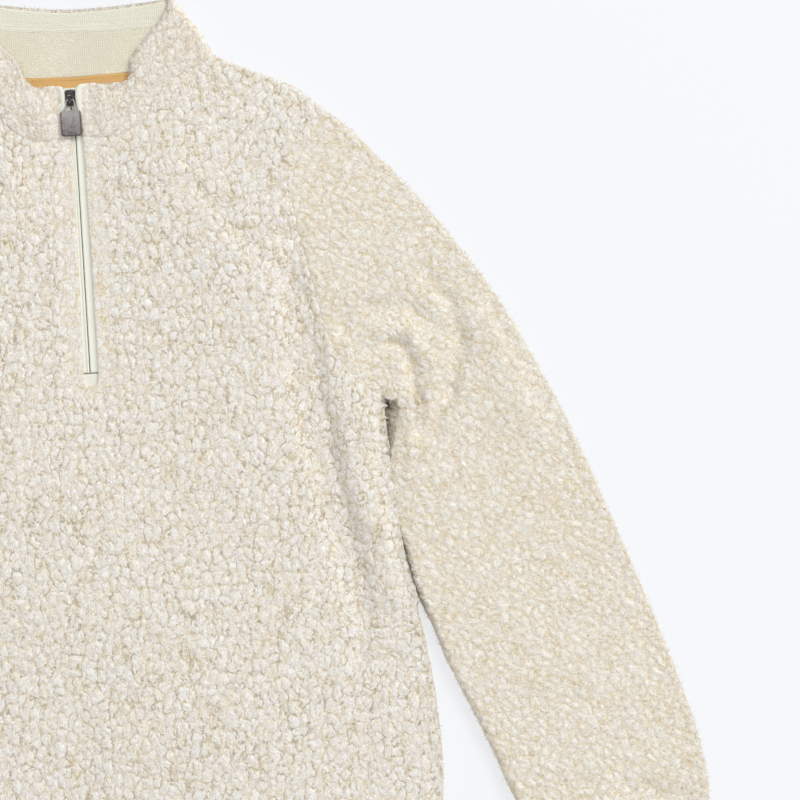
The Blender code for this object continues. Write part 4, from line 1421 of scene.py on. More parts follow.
@dataclass
class BodyPanels(FleecePiece):
    """The front and the back, sewn together at the sides and shoulders."""

    step: float = 1.95
    back_step: float = 4.0
    slot_reach: float = 40.0
    slot_roll: float = 2.0
    slot_drop: float = 1.2
    border_loft: float = 0.22
    hem_stitch: float = 22.0
    hem_top: float = -360.0
    rim: float = 0.3
    rim_below: float = 0.4
    deepest_fold: float = -4.6
    lap_reach: float = 12.0
    lap_thinning: float = 0.62
    tufts: Rows = ((2.4, 0.7, 0.0), (1.6, 1.19, 1.0))  # reach, turn for each millimetre, start
    tuft_inset: float = 0.4
    wisp_density: float = 150000.0

    def outer_line(self) -> ndarray:
        """The side seam and the armhole, from the hem up."""
        return np.vstack([smooth_path(SIDE_SEAM), armhole()[1:]])

    def half(self, neck: ndarray, centre: ndarray, shares: ndarray, step: float) -> ndarray:
        """The flat grid of the wearer's left half of a panel.

        Args:
            neck: The neck line from the middle out to the shoulder seam.
            centre: The panel's middle line, one point for each row.
            shares: The rows' shares of the way up.
            step: The spacing of the columns.

        Returns:
            Rows by columns by 2.
        """
        outer = sampled(self.outer_line(), shares)
        top = np.vstack([neck, smooth_path(SHOULDER_SEAM)[1:]])
        across = graded(length_of(HEM), step)
        return patch(centre, outer, sampled(HEM, across), sampled(top, across))

    def front_half(self, side: Side) -> ndarray:
        """The flat grid of half the front, in the half plane of positive x.

        Args:
            side: Which half, as the zip's slot isn't the same on both sides.

        Returns:
            Rows by columns by 2.
        """
        shares = graded(length_of(self.outer_line()), self.step)
        foot, top = ZIP_SLOT[0][0], NECK_FRONT[0][1]
        share = (foot - HEM_CENTRE[1]) / (top - HEM_CENTRE[1])
        row = int(np.argmin(np.abs(shares - share)))
        y = np.interp(shares, [0.0, shares[row], 1.0], [HEM_CENTRE[1], foot, top])
        edge = np.where(y > foot, slot_edge(y, side) * side, 0.0)
        ramp = edge[-1] * np.clip((y - foot) / (top - foot), 0.0, 1.0)
        neck = smooth_path(((float(edge[-1]), top), *NECK_FRONT[1:]))
        flat = self.half(neck, points_of(ramp, y), shares, self.step)
        near = np.clip(1 - (flat[..., 0] - ramp[:, None]) / self.slot_reach, 0.0, 1.0)
        flat[..., 0] += (edge - ramp)[:, None] * near
        return flat

    def front_surface(self, side: Side) -> tuple[ndarray, ...]:
        """Half the front's outer surface.

        Args:
            side: Which half.

        Returns:
            The points, and for each its loft and how near it is to a free edge.
        """
        flat = self.front_half(side) * side.mirror
        seams = (armhole(), smooth_path(SHOULDER_SEAM), smooth_path(NECK_FRONT))
        free = Distance(smooth_path(SIDE_SEAM), HEM, side=side).to(flat)
        sewn = Distance(*seams, side=side).to(flat)
        slot = Distance(slot_line(side, top=NECK_FRONT[0][1])).to(flat)
        border = near_slot(flat)
        fold = np.maximum(fold_heights(flat) * ease(free / FOLD_MARGIN), self.deepest_fold)
        level = mix(FRONT_TOP + fold, BORDER_LEVEL, border)
        full = level - FRONT_UNDER - self.rim
        y = flat[..., 1]
        lap = interpolated(BODY_LAP, y) * bell(free, self.lap_reach)
        full = full * (1 - self.lap_thinning * np.minimum(lap, 1.0))
        depth = np.maximum(rolled(free, self.roll, 1.0) * full, self.seam_depth(sewn))
        depth = np.maximum(depth, rolled(slot, self.slot_roll, self.slot_drop))
        stitch = bell(free - self.hem_stitch, STITCH_WIDTH) * (y < self.hem_top)
        level = level - depth - self.stitch_groove * stitch
        tufts = sum(reach * np.sin(turn * y + start) for reach, turn, start in self.tufts)
        outward = lap + (tufts - self.tuft_inset) * at_hole(y)
        outward = side * outward * bell(free, SEAM_SPREAD)
        loft = mix(1.0, self.border_loft, border) * self.seam_loft(sewn)
        loft = loft * ease(slot / 3.0 + 0.15) * (1 - self.stitch_loft * stitch)
        flat = flat + self.past_seams(flat, side)
        flat[..., 0] += outward
        return np.dstack([flat, level]), loft, bell(free, self.edge_reach)

    def past_seams(self, flat: ndarray, side: Side) -> ndarray:
        """How far to move the front's points so that its sewn edges meet the next pieces.

        Args:
            flat: The points in plan.
            side: The half that they are in.

        Returns:
            A move in plan for each point.
        """
        total = np.zeros(flat.shape)
        edges = (
            (armhole(), ARMHOLE_WAY),
            (smooth_path(SHOULDER_SEAM), SHOULDER_WAY),
            (smooth_path(NECK_FRONT), NECK_WAY),
        )
        for line, way in edges:
            near = bell(Distance(line, side=side).to(flat), SEAM_SPREAD)
            total += self.seam_reach * near[..., None] * way * side.mirror
        return total

    def build_front(self) -> Object:
        """The front panel, with the zip's slot."""
        skin = Skin()
        for side in Side:
            points, loft, edge = self.front_surface(side)
            skin.grid(points, loft, edge, turned=side is Side.RIGHT)
        obj = self.sewn("front_fleece", skin, FRONT_UNDER)
        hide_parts("front")
        self.add_wisps(obj, self.wisp_density, 3)
        return obj

    def build_back(self) -> Object:
        """The back panel, whose outside rests on the floor."""
        shares = graded(length_of(self.outer_line()), self.back_step)
        shoulder, neck = smooth_path(SHOULDER_SEAM), smooth_path(NECK_BACK)
        y = HEM_CENTRE[1] + shares * (NECK_BACK[0][1] - HEM_CENTRE[1])
        flat = self.half(neck, points_of(0.0, y), shares, self.back_step)
        free = Distance(smooth_path(SIDE_SEAM), HEM, shoulder, neck, armhole()).to(flat)
        rise = SEAM_LEVEL - self.under_relief - self.rim_below
        level = self.under_relief + rolled(free, self.roll, 1.0) * rise
        loft = mix(0.9, UNDER_LOFT, ease(free / 6.0))
        skin = Skin()
        for side in Side:
            points = np.dstack([flat * side.mirror, level])
            skin.grid(points, loft, 0.0, turned=side is Side.LEFT)
        obj = self.sewn("back_fleece", skin, SEAM_LEVEL - 0.1)
        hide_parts("back")
        return obj


@dataclass
class Sleeve(FleecePiece):
    """A sleeve, laid flat: a tube with a fold under the arm and one along its outside."""

    side: Side = Side.LEFT
    rows_step: float = 1.75
    across_count: int = 138
    fold_count: int = 13
    under_count: int = 56
    radius: float = 5.65
    slit: float = 0.12
    slit_reach: float = 19.0
    slit_middle: float = -62.0
    slit_spread: float = 46.0
    edge_reach: float = 6.0
    cuff_half: float = 0.45
    cuff_stitch: float = 20.0
    hole_shade: tuple[float, ...] = (12.5, 9.5, 16.0)  # top level, fade below it, reach inwards
    lap_shade: tuple[float, ...] = (12.6, 3.2, 5.0)  # the same where the body laps over
    inside_step: int = 12
    wisp_density: float = 130000.0

    @property
    def name(self) -> str:
        """The CAD node that the sleeve stands for."""
        return f"sleeve_{self.side.word}"

    def fade(self, share: ndarray, down: float) -> ndarray:
        """How fast the armhole's hollow dies away down the sleeve."""
        reach = 0.07 + 0.5 * ease(share / 0.3)
        return np.exp(-down / reach) * (1.0 - down)

    def line(self, down: float, shares: ndarray) -> ndarray:
        """The flat line across the sleeve, hollowed beside the armhole.

        Args:
            down: The line's share of the way from armhole to cuff.
            shares: Where its points are, from the underarm out.

        Returns:
            A point in plan for each share.
        """
        low = sampled(self.under, np.array([down]))[0]
        high = sampled(self.over, np.array([down]))[0]
        straight = low + (high - low) * shares[:, None]
        heights = (straight[:, 1] - ARMPIT[1]) / (SHOULDER_POINT[1] - ARMPIT[1])
        heights = np.clip(heights, 0.0, 1.0)
        hollow = np.minimum(hollows(shares), hollows(heights)) * self.fade(heights, down)
        return straight + hollow[:, None] * square_to(high - low)

    def off_body(self, points: ndarray, away: ndarray) -> ndarray:
        """Moves points off the body, and less the farther across the sleeve they are.

        Args:
            points: An array whose last axis starts with x, y.
            away: How far each point goes if it is beside the body.

        Returns:
            The moved points.
        """
        edge = np.interp(-points[..., 1], -self.under[:, 1], self.under[:, 0])
        moved = points.copy()
        moved[..., 0] += away * np.exp(-np.maximum(points[..., 0] - edge, 0) / HOLE_REACH)
        return moved

    def clear_of_body(self, points: ndarray) -> ndarray:
        """Moves the sleeve's upper layer off the body at the hole, and the sleeve to it below.

        Args:
            points: Points in plan, or with their levels.

        Returns:
            The moved points.
        """
        away = interpolated(ARMPIT_HOLE, points[..., 1])
        if points.shape[-1] > 2:
            raised = ease((points[..., 2] - HOLE_FLOOR) / HOLE_WALL)
            away = np.where(away > 0, away * raised, away)
        return self.off_body(points, away)

    def sewn_shut(self, points: ndarray) -> ndarray:
        """Moves the slit inside the sleeve well clear of the hole under the arm."""
        near = bell(points[..., 1] - self.slit_middle, self.slit_spread)
        return self.off_body(points, self.slit_reach * near)

    def ring(self, down: float, radius: float) -> ndarray:
        """A closed ring round the flat tube: top, outer fold, underside, underarm fold.

        Args:
            down: The ring's share of the way from armhole to cuff.
            radius: Half its thickness.

        Returns:
            Its points, three numbers each.
        """
        ends = self.line(down, np.array([0.0, 1.0]))
        width = np.linalg.norm(ends[1] - ends[0])
        inset = self.radius / width
        top = self.line(down, np.linspace(inset, 1 - inset, self.across_count))
        below = self.line(down, np.linspace(1 - inset, inset, self.under_count))
        angles = np.linspace(0, math.pi, self.fold_count + 2)[1:-1]
        outwards, inwards = unit(top[-1] - top[-2]), unit(top[0] - top[1])
        over = top[-1] + radius * np.sin(angles)[:, None] * outwards
        under = top[0] + radius * np.sin(angles)[:, None] * inwards
        high, turn = np.full(len(top), radius), radius * np.cos(angles)
        levels = np.concatenate([high, turn, np.full(len(below), -radius), -turn])
        return np.column_stack([np.vstack([top, over, below, under]), self.radius + levels])

    def surface(self, shares: ndarray) -> tuple[ndarray, ...]:
        """The sleeve's outer surface.

        Args:
            shares: The rings' shares of the way from armhole to cuff.

        Returns:
            The points, and for each its loft, its nearness to a free edge and how much painted
            shade it takes.
        """
        rings = np.stack([self.ring(down, self.radius) for down in shares])
        rings = self.clear_of_body(rings)
        fold = fold_heights(rings * np.array([self.side, 1.0, 1.0]))
        upper = np.clip((rings[..., 2] - self.radius) / self.radius, -1, 1)
        edges = Distance(self.clear_of_body(self.under), self.over).to(rings)
        rings[..., 2] += fold * np.maximum(upper, 0) * ease((edges - self.radius) / FOLD_MARGIN)
        sewn = Distance(armhole()).to(rings)
        cuff = np.maximum(rings[..., 1] - SLEEVE_UNDER[-1][1], 0.0)
        half = np.abs(rings[..., 2] - self.radius)
        at_cuff = rolled(cuff, self.roll, 1.0) * np.maximum(half - self.cuff_half, 0.0)
        depth = np.maximum(self.seam_depth(sewn), at_cuff)
        stitch = bell(cuff - self.cuff_stitch, STITCH_WIDTH)
        depth = depth + self.stitch_groove * stitch * np.maximum(upper, 0)
        rings[..., 2] -= depth * upper
        inward = np.maximum(Distance(self.under).to(rings) - self.radius, 0.0)
        tuck = at_tuck(rings[..., 1]) * np.exp(-inward / TUCK_REACH)
        rings[..., 2] -= TUCK_DROP * tuck * np.maximum(upper, 0)
        flat = np.maximum(-upper, 0) ** 4
        rings[..., 2] += self.under_relief * flat * (rings[..., 2] < self.under_relief)
        rings[..., :2] -= self.seam_reach * bell(sewn, SEAM_SPREAD)[..., None] * ARMHOLE_WAY
        loft = self.seam_loft(sewn) * mix(1.0, UNDER_LOFT, flat) * (1 - self.stitch_loft * stitch)
        edge = bell(np.minimum(edges, cuff), self.edge_reach) * (upper > -0.8)
        return rings, loft, edge, self.depth_below(rings)

    def depth_below(self, rings: ndarray) -> ndarray:
        """How much painted shade the points beside the body take, by how deep they lie below its
        edge.

        Args:
            rings: The sleeve's points.

        Returns:
            From 0 to 1 for each point.
        """
        from_under = Distance(self.clear_of_body(self.under)).to(rings)
        hole = np.sqrt(at_hole(rings[..., 1]))
        lap = interpolated(UNDERARM_SHADE, rings[..., 1])
        painted_shades = [
            amount * ease((top - rings[..., 2]) / fade) * (from_under < reach)
            for amount, (top, fade, reach) in ((hole, self.hole_shade), (lap, self.lap_shade))
        ]
        return np.maximum(*painted_shades)

    def build(self) -> Object:
        """The sleeve, with its slit inside from armhole to cuff."""
        self.under, self.over = smooth_path(SLEEVE_UNDER), smooth_path(SLEEVE_OVER)
        middle = (length_of(self.under) + length_of(self.over)) / 2
        shares = graded(middle, self.rows_step)
        outer, loft, edge, deep = self.surface(shares)
        kept = sorted({*range(0, len(shares), self.inside_step), len(shares) - 1})
        inner = self.sewn_shut(np.stack([self.ring(shares[i], self.slit) for i in kept]))
        mirror = np.array([float(self.side), 1.0, 1.0])
        skin = Skin()
        outside = skin.grid(outer * mirror, loft, edge, ring=True, deep=deep)
        inside = skin.grid(inner * mirror, 0.0, 0.0, turned=True, ring=True)
        skin.join(outside[0], inside[0], ring=True)
        skin.join(outside[-1], inside[-1], ring=True)
        obj = self.sewn(f"{self.name}_fleece", skin)
        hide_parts(self.name)
        self.add_wisps(obj, self.wisp_density, 7 + self.side)
        return obj


@dataclass
class Collar(FleecePiece):
    """The standing collar laid flat: one strip from the zip round the back to the zip again."""

    rows_step: float = 1.15
    across_step: float = 1.1
    back_step: float = 1.8
    fold_count: int = 11
    crown: float = 1.4
    wall: float = 5.5
    top_roll: float = 4.0
    top_drop: float = 3.6
    seam_roll: float = 3.5
    seam_drop: float = 1.8
    seam_reach: float = 0.8
    loft_reach: float = 4.0
    edge_reach: float = 4.5
    slot_roll: float = 2.0
    slot_drop: float = 2.6
    border_loft: float = 0.25
    seam_gap: float = 0.3
    slot_foot: float = 190.0
    front_from: float = 0.3
    far: float = 50.0
    least_wall: float = 0.4
    band: float = 4.0
    wisp_density: float = 160000.0

    @property
    def radius(self) -> float:
        """The outside radius of the side folds."""
        return COLLAR_TOP / 2

    def front_grid(self, half: CollarSide, ups: ndarray) -> ndarray:
        """The flat grid of half the front of the collar, in the half plane of positive x.

        Args:
            half: The side of the collar.
            ups: The rows' shares of the way up.

        Returns:
            Rows by columns by 2.
        """
        heights = mix(NECK_FRONT[0][1] + self.seam_gap, half.front[0][1], ups)
        slot = points_of(slot_edge(heights, half.side) * half.side, heights)
        neck = smooth_path((tuple(slot[0]), *NECK_FRONT[1:]))
        top = smooth_path((tuple(slot[-1]), *half.front[1:]))
        across = graded(length_of(neck), self.across_step)
        fold = sampled(smooth_path(half.fold), ups)
        return patch(slot, fold, sampled(neck, across), sampled(top, across))

    def back_grid(self, half: CollarSide, ups: ndarray) -> ndarray:
        """The flat grid of half the back of the collar, from the middle out.

        Args:
            half: The side of the collar.
            ups: The rows' shares of the way up.

        Returns:
            Rows by columns by 2.
        """
        neck, top = smooth_path(NECK_BACK), smooth_path(half.back)
        across = np.linspace(0, 1, round(length_of(neck) / self.back_step) + 1)
        fold = sampled(smooth_path(half.fold), ups)
        middle = mix(neck[0], top[0], ups[:, None])
        return patch(middle, fold, sampled(neck, across), sampled(top, across))

    def half_strip(self, half: CollarSide, ups: ndarray, radius: float) -> ndarray:
        """Half the strip: along the front, round the side fold and in to the back's middle.

        Args:
            half: The side of the collar.
            ups: The rows' shares of the way up.
            radius: Half the thickness between the layers of the fold.

        Returns:
            Rows by columns by 3.
        """
        strips = []
        angles = np.linspace(0, math.pi, self.fold_count + 2)[1:-1]
        share = (angles / math.pi)[:, None]
        for ahead, behind in zip(self.front_grid(half, ups), self.back_grid(half, ups)):
            to_front, to_back = self.trimmed(ahead), self.trimmed(behind)
            out_front, out_back = unit(to_front[-1] - to_front[-2]), unit(to_back[-1] - to_back[-2])
            middle = mix(to_front[-1], to_back[-1], share)
            way = mix(out_front, out_back, share)
            turn = middle + radius * np.sin(angles)[:, None] * way
            spots = np.vstack([to_front, turn, to_back[::-1]]) * half.side.mirror
            ahead, behind = np.full(len(to_front), radius), np.full(len(to_back), -radius)
            levels = np.concatenate([ahead, radius * np.cos(angles), behind])
            strips.append(np.column_stack([spots, self.radius + levels]))
        return np.stack(strips)

    def trimmed(self, line: ndarray) -> ndarray:
        """The line shortened at its far end by the fold's radius, with as many points."""
        share = 1 - self.radius / length_of(line)
        return sampled(line, shares_of(line) * share)

    def from_line(self, points: ndarray, left: Rows, right: Rows) -> ndarray:
        """How far points lie from a line that one table draws on each side."""
        other = smooth_path(right) * Side.RIGHT.mirror
        return Distance(smooth_path(left), other).to(points)

    def strip(self, ups: ndarray, radius: float) -> ndarray:
        """The whole strip, from the zip on the wearer's left to the zip on the right."""
        left = self.half_strip(COLLAR_LEFT, ups, radius)
        right = self.half_strip(COLLAR_RIGHT, ups, radius)
        return np.concatenate([left, right[:, -2::-1]], axis=1)

    def surface(self, ups: ndarray) -> tuple[ndarray, ...]:
        """The collar's outer surface.

        Args:
            ups: The rows' shares of the way up.

        Returns:
            The points, and for each its loft and how near it is to a free edge.
        """
        points = self.strip(ups, self.radius)
        upper = (points[..., 2] - self.radius) / self.radius
        ahead = self.from_line(points, COLLAR_TOP_LEFT, COLLAR_TOP_RIGHT)
        behind = self.from_line(points, COLLAR_TOP_BACK_LEFT, COLLAR_TOP_BACK_RIGHT)
        front = upper > self.front_from
        free = np.where(front, ahead, behind)
        sewn = np.where(front, self.from_line(points, NECK_FRONT, NECK_FRONT), self.far)
        slot = Distance(*[slot_line(side, foot=self.slot_foot) for side in Side]).to(points)
        border = near_slot(points) * (upper > 0)
        crown = self.crown * np.sin(math.pi * ups)[:, None]
        rise = mix(crown, COLLAR_BORDER_LEVEL - COLLAR_TOP, border) * np.clip(upper, 0, 1)
        depth = np.maximum(rolled(free, self.top_roll, self.top_drop), self.seam_depth(sewn))
        depth = np.maximum(depth, rolled(slot, self.slot_roll, self.slot_drop) * (upper > 0))
        points[..., 2] += rise - depth * np.clip(upper * 1.5, -1, 1)
        points[..., 1] -= self.seam_reach * bell(sewn, SEAM_SPREAD)
        loft = mix(1.0, self.border_loft, border) * self.seam_loft(sewn)
        loft = loft * mix(0.5, 1.0, ease((upper + 0.9) / 0.3))
        edge = bell(free, self.edge_reach) * (1 - border)
        return points, loft, edge

    def build(self) -> Object:
        """The collar's fleece."""
        ups = graded(COLLAR_TOP_LEFT[0][1] - NECK_FRONT[0][1], self.rows_step)
        outer, loft, edge = self.surface(ups)
        inner = self.strip(ups, self.radius - self.wall)
        lowered = np.minimum(inner[..., 2], outer[..., 2] - self.least_wall)
        inner[..., 2] = np.where(outer[..., 2] > self.radius, lowered, inner[..., 2])
        behind = self.from_line(inner, COLLAR_TOP_BACK_LEFT, COLLAR_TOP_BACK_RIGHT)
        band = ease(1.6 - behind / self.band) * (outer[..., 2] < self.radius)
        skin = Skin()
        outside = skin.grid(outer, loft, edge)
        inside = skin.grid(inner, band, 0.8 * band, turned=True)
        for row in (0, -1):
            skin.join(outside[row], inside[row])
        for column in (0, -1):
            skin.join(outside[:, column], inside[:, column])
        obj = self.sewn("collar_fleece", skin)
        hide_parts("collar")
        self.add_wisps(obj, self.wisp_density, 11)
        return obj


# -------- lining and tapes


def sewn_in(name: str, skin: Skin, material: Material) -> Object:
    """Makes an object of a skin's wall, which rides on the garment."""
    return ride_as(add_object(name, welded(skin.mesh(name)), material))


def walled(top: ndarray, under: float, mark: ndarray | float = 0.0) -> Skin:
    """A skin of a grid and a flat underside, joined all round.

    Args:
        top: The grid, rows by columns by 3.
        under: The underside's level.
        mark: What the top stores as its loft.

    Returns:
        The skin.
    """
    skin = Skin()
    below = top.copy()
    below[..., 2] = under
    above = skin.grid(top, mark, 0.0)
    beneath = skin.grid(below, 0.0, 0.0, turned=True)
    for row in (0, -1):
        skin.join(above[row], beneath[row])
        skin.join(above[:, row], beneath[:, row])
    return skin


@dataclass
class Lining:
    """The collar's lining: its top edge turned in, a cover-stitched seam and plain knit below."""

    finish: Knit
    thread: Plain
    step: float = 1.0
    top_inset: float = 3.0
    side_inset: float = 6.8
    foot_gap: float = 0.1
    seam: Rows = ((-90.0, 295.5), (-56.0, 291.0), (-18.6, 287.2), (38.0, 285.6), (80.0, 286.4))
    band: float = 7.0
    groove: float = 0.35
    groove_width: float = 0.6
    seam_ends: tuple[float, float] = (-78.0, 74.0)

    def half(self, part: CollarSide) -> ndarray:
        """Half the lining as a flat grid, in the half plane of positive x.

        Args:
            part: The side of the collar that it lies in.

        Returns:
            Rows by columns by 2.
        """
        neck, top, fold = (smooth_path(rows) for rows in (NECK_BACK, part.back, part.fold))
        neck = neck * [1 - self.side_inset / neck[-1, 0], 1.0] + [0.0, self.foot_gap]
        top = top * [1 - self.side_inset / top[-1, 0], 1.0] - [0.0, self.top_inset]
        rise = mix(self.foot_gap, -self.top_inset, shares_of(fold))
        fold = fold + points_of(-self.side_inset, rise)
        ups = np.linspace(0, 1, round((top[0, 1] - neck[0, 1]) / self.step) + 1)
        across = np.linspace(0, 1, round(length_of(neck) / self.step) + 1)
        middle = mix(neck[0], top[0], ups[:, None])
        return patch(middle, sampled(fold, ups), sampled(neck, across), sampled(top, across))

    def build(self) -> Object:
        """The lining and the threads of its seam."""
        left = self.half(COLLAR_LEFT)
        right = self.half(COLLAR_RIGHT) * Side.RIGHT.mirror
        flat = np.concatenate([right[:, :0:-1], left], axis=1)
        x, y = flat[..., 0], flat[..., 1]
        above = y - interpolated(self.seam, x)
        from_top = np.linalg.norm(flat - flat[-1:], axis=-1)
        from_foot = np.linalg.norm(flat - flat[:1], axis=-1)
        level = np.full(x.shape, LINING_UNDER + LINING_THICK)
        # It stands higher where it lies double, above the seam and in the band below it.
        level = level + 0.2 * ease(above / 0.8) * ease(from_top / 1.5)
        level = level + 0.15 * ease((above + self.band) / 0.8) * (above < 0)
        # It sinks along both rows of stitches and at the top and foot, and waves a little.
        for place in (0.0, -self.band):
            level = level - self.groove * bell(above - place, self.groove_width)
        level = level - rolled(from_top, 1.2, 0.7) - 0.35 * bell(from_foot, 1.4)
        level = level + 0.12 * np.sin(x / 11.0 + 0.5 * np.sin(y / 9.0))
        mark = ease((above + self.band + 0.4) / 0.8)
        skin = walled(np.dstack([flat, level]), LINING_UNDER, mark)
        obj = sewn_in("lining_knit", skin, self.finish.material())
        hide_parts("collar_lining")
        self.build_seam()
        return obj

    def build_seam(self) -> None:
        """Two rows of straight stitches with a zigzag of cover threads between them."""
        x = np.linspace(*self.seam_ends, 153)
        y, z = interpolated(self.seam, x), LINING_UNDER + LINING_THICK + 0.2
        material = self.thread.material()
        straight = Stitch(pitch=2.0, length=1.6, width=0.85, height=0.55)
        cover = Stitch(pitch=1.7, length=2.9, width=0.6, height=0.45, slant=58.0)
        rows = ((-0.5, straight), (-1.9, cover), (-4.6, cover), (-self.band + 0.6, straight))
        for number, (drop, stitch) in enumerate(rows):
            name = f"lining_stitches_{number}"
            stitch.along(name, points_of(x, y + drop, z), material, "lining_knit")


@dataclass
class NeckTape:
    """The twill tape that covers the neck seam inside the back."""

    finish: Ribbed
    thread: Plain
    half_width: float = 74.2
    foot: float = 230.7
    under: float = 5.8
    thick: float = 0.75
    step: float = 1.1

    def build(self) -> Object:
        """The tape, a little wavy, and its stitches."""
        count = round(2 * self.half_width / self.step) + 1
        x = np.linspace(-self.half_width, self.half_width, count)
        head = np.array([(-row[0], row[1]) for row in NECK_BACK[:0:-1]] + list(NECK_BACK))
        top = np.interp(x, head[:, 0], head[:, 1]) - 0.05
        up = np.linspace(0, 1, 15)[:, None]
        y = mix(self.foot, top[None, :], up)
        # A slight wave, a ridge along the stitched top edge and one crease across.
        level = self.under + self.thick + 0.18 * np.sin(x / 7.0 + y / 5.0)
        level = level + 0.3 * bell(top - y - 1.2, 0.8)
        level = level + 0.5 * bell(x - 36.0 - 0.8 * (y - 236.0), 1.8)
        skin = walled(points_of(x, y, level), self.under)
        obj = sewn_in("neck_tape_twill", skin, self.finish.material())
        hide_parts("neck_tape")
        line = points_of(x, top - 2.6, self.under + self.thick + 0.1)
        stitch = Stitch(pitch=2.6, length=1.9, width=0.4, height=0.3)
        stitch.along("neck_tape_stitches", line, self.thread.material(), "mustard_tape")
        return obj


@dataclass
class ZipTape:
    """One side of the zip: a tape with a soft rolled edge along the teeth."""

    finish: Ribbed
    side: Side
    foot: float = -0.7
    head: float = 234.0
    half_gap: float = 0.24
    slot_gap: float = 0.1
    under: float = 5.9
    level: float = 8.2
    bead: float = 1.0
    step: float = 1.6
    lapel: Rows = ()
    lapel_height: float = 0.62

    def build(self) -> Object:
        """The tape, in place of its solid."""
        count = round((self.head - self.foot) / self.step) + 1
        y = np.linspace(self.foot, self.head, count)[:, None]
        inner = zip_line(y) + self.side * self.half_gap
        outer = slot_edge(y, self.side) - self.side * self.slot_gap
        across = np.concatenate([[0.0, 0.05, 0.12], np.linspace(0.2, 1.0, 9)])[None, :]
        x = mix(inner, outer, across)
        distance = np.abs(x - inner)
        lift = TAPE_LIFT * tape_lean(y)
        # A bead beside the teeth, its drop to them, the outer edge's rise and the dip at the head.
        level = self.level + lift + self.bead * bell(distance - 1.1, 0.9)
        level = level - 1.1 * np.exp(-distance / 0.25)
        level = level + 0.9 * ease((across - 0.7) / 0.3) * (1 - tape_lean(y))
        level = mix(level, np.minimum(level, 8.3), ease((y - 208.0) / 9.0))
        skin = walled(points_of(x, y, level)[:, :: self.side], self.under)
        name = f"zip_tape_{self.side.word}_cloth"
        obj = sewn_in(name, skin, self.finish.material())
        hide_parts(f"zip_tape_{self.side.word}")
        self.build_lapel()
        return obj

    def build_lapel(self) -> Object:
        """The facing's soft rolled edge beside the slider, which turns out over the collar."""
        line = smooth_path(self.lapel, 6)
        turns = np.linspace(0, math.tau, 13)[:-1]
        ways = np.gradient(line[:, :2], axis=0)
        ways = ways / np.linalg.norm(ways, axis=1)[:, None]
        sideways = np.stack([ways[:, 1], -ways[:, 0]], axis=1)
        wide, tall = line[:, 3:4], line[:, 3:4] * self.lapel_height
        plan = line[:, None, :2] + sideways[:, None] * (wide * np.cos(turns))[..., None]
        level = line[:, 2:3] + tall * np.sin(turns)
        skin = Skin()
        numbers = skin.grid(np.dstack([plan, level]), 0.0, 0.0, ring=True)
        skin.faces += [tuple(numbers[0][::-1]), tuple(numbers[-1])]
        material = bpy.data.materials[self.finish.name]
        return sewn_in(f"zip_facing_{self.side.word}", skin, material)


@dataclass
class ZipTeeth:
    """The fine teeth that show as a dark line between the tapes."""

    finish: Plain
    foot: float = 0.5
    head: float = 218.0
    level: float = 7.2
    stagger: float = 0.27
    half_gap: float = 0.22

    def build(self) -> None:
        """Two rows of small bars that mesh between the tapes."""
        y = np.linspace(self.foot, self.head, 80)
        level = self.level + TAPE_LIFT * tape_lean(y)
        material = self.finish.material()
        tooth = Stitch(pitch=1.1, length=0.5, width=1.15, height=0.9)
        for side in Side:
            x = zip_line(y) + self.half_gap * side
            line = points_of(x, y + self.stagger * side, level)
            tooth.along(f"zip_teeth_{side.word}", line, material, "zip_tape")


@dataclass
class EndTab:
    """The cream tab that closes the zip's foot."""

    finish: Ribbed
    half_width: float = 8.1
    foot: float = -13.8
    head: float = -1.1
    under: float = 5.8
    level: float = 7.9

    def build(self) -> Object:
        """The tab, softly domed."""
        x = np.linspace(-self.half_width, self.half_width, 21)[None, :]
        y = np.linspace(self.foot, self.head, 17)[:, None]
        spread = np.minimum(self.half_width - np.abs(x), np.minimum(y - self.foot, self.head - y))
        level = self.level - rolled(spread, 2.5, 1.6) + 0.12 * np.sin(y * 3.4)
        skin = walled(points_of(x, y, level), self.under)
        obj = sewn_in("zip_end_tab_cloth", skin, self.finish.material())
        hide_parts("zip_end_tab")
        return obj


PULL_PLATE = (-0.0027, 0.0084, 0.25385, 0.27485)  # its middle in x, half width, foot and head
SLIDER_GLINT = (-0.0036, 0.2878, 0.0009)  # the painted highlight's x and y, and its reach


def dress_metal() -> None:
    """Gives the slider and its pull their metal."""
    shades = (srgb(112, 106, 104), srgb(62, 58, 58))
    dark = Metal("slider_finish", *shades, roughness=0.3, glint=SLIDER_GLINT)
    plate = Metal("pull_finish", plate=PULL_PLATE)
    for name, finish in (("zip_slider", dark), ("zip_pull", plate)):
        node = bpy.data.objects[name]
        node.data.materials.clear()
        node.data.materials.append(finish.material())


# -------- the studio


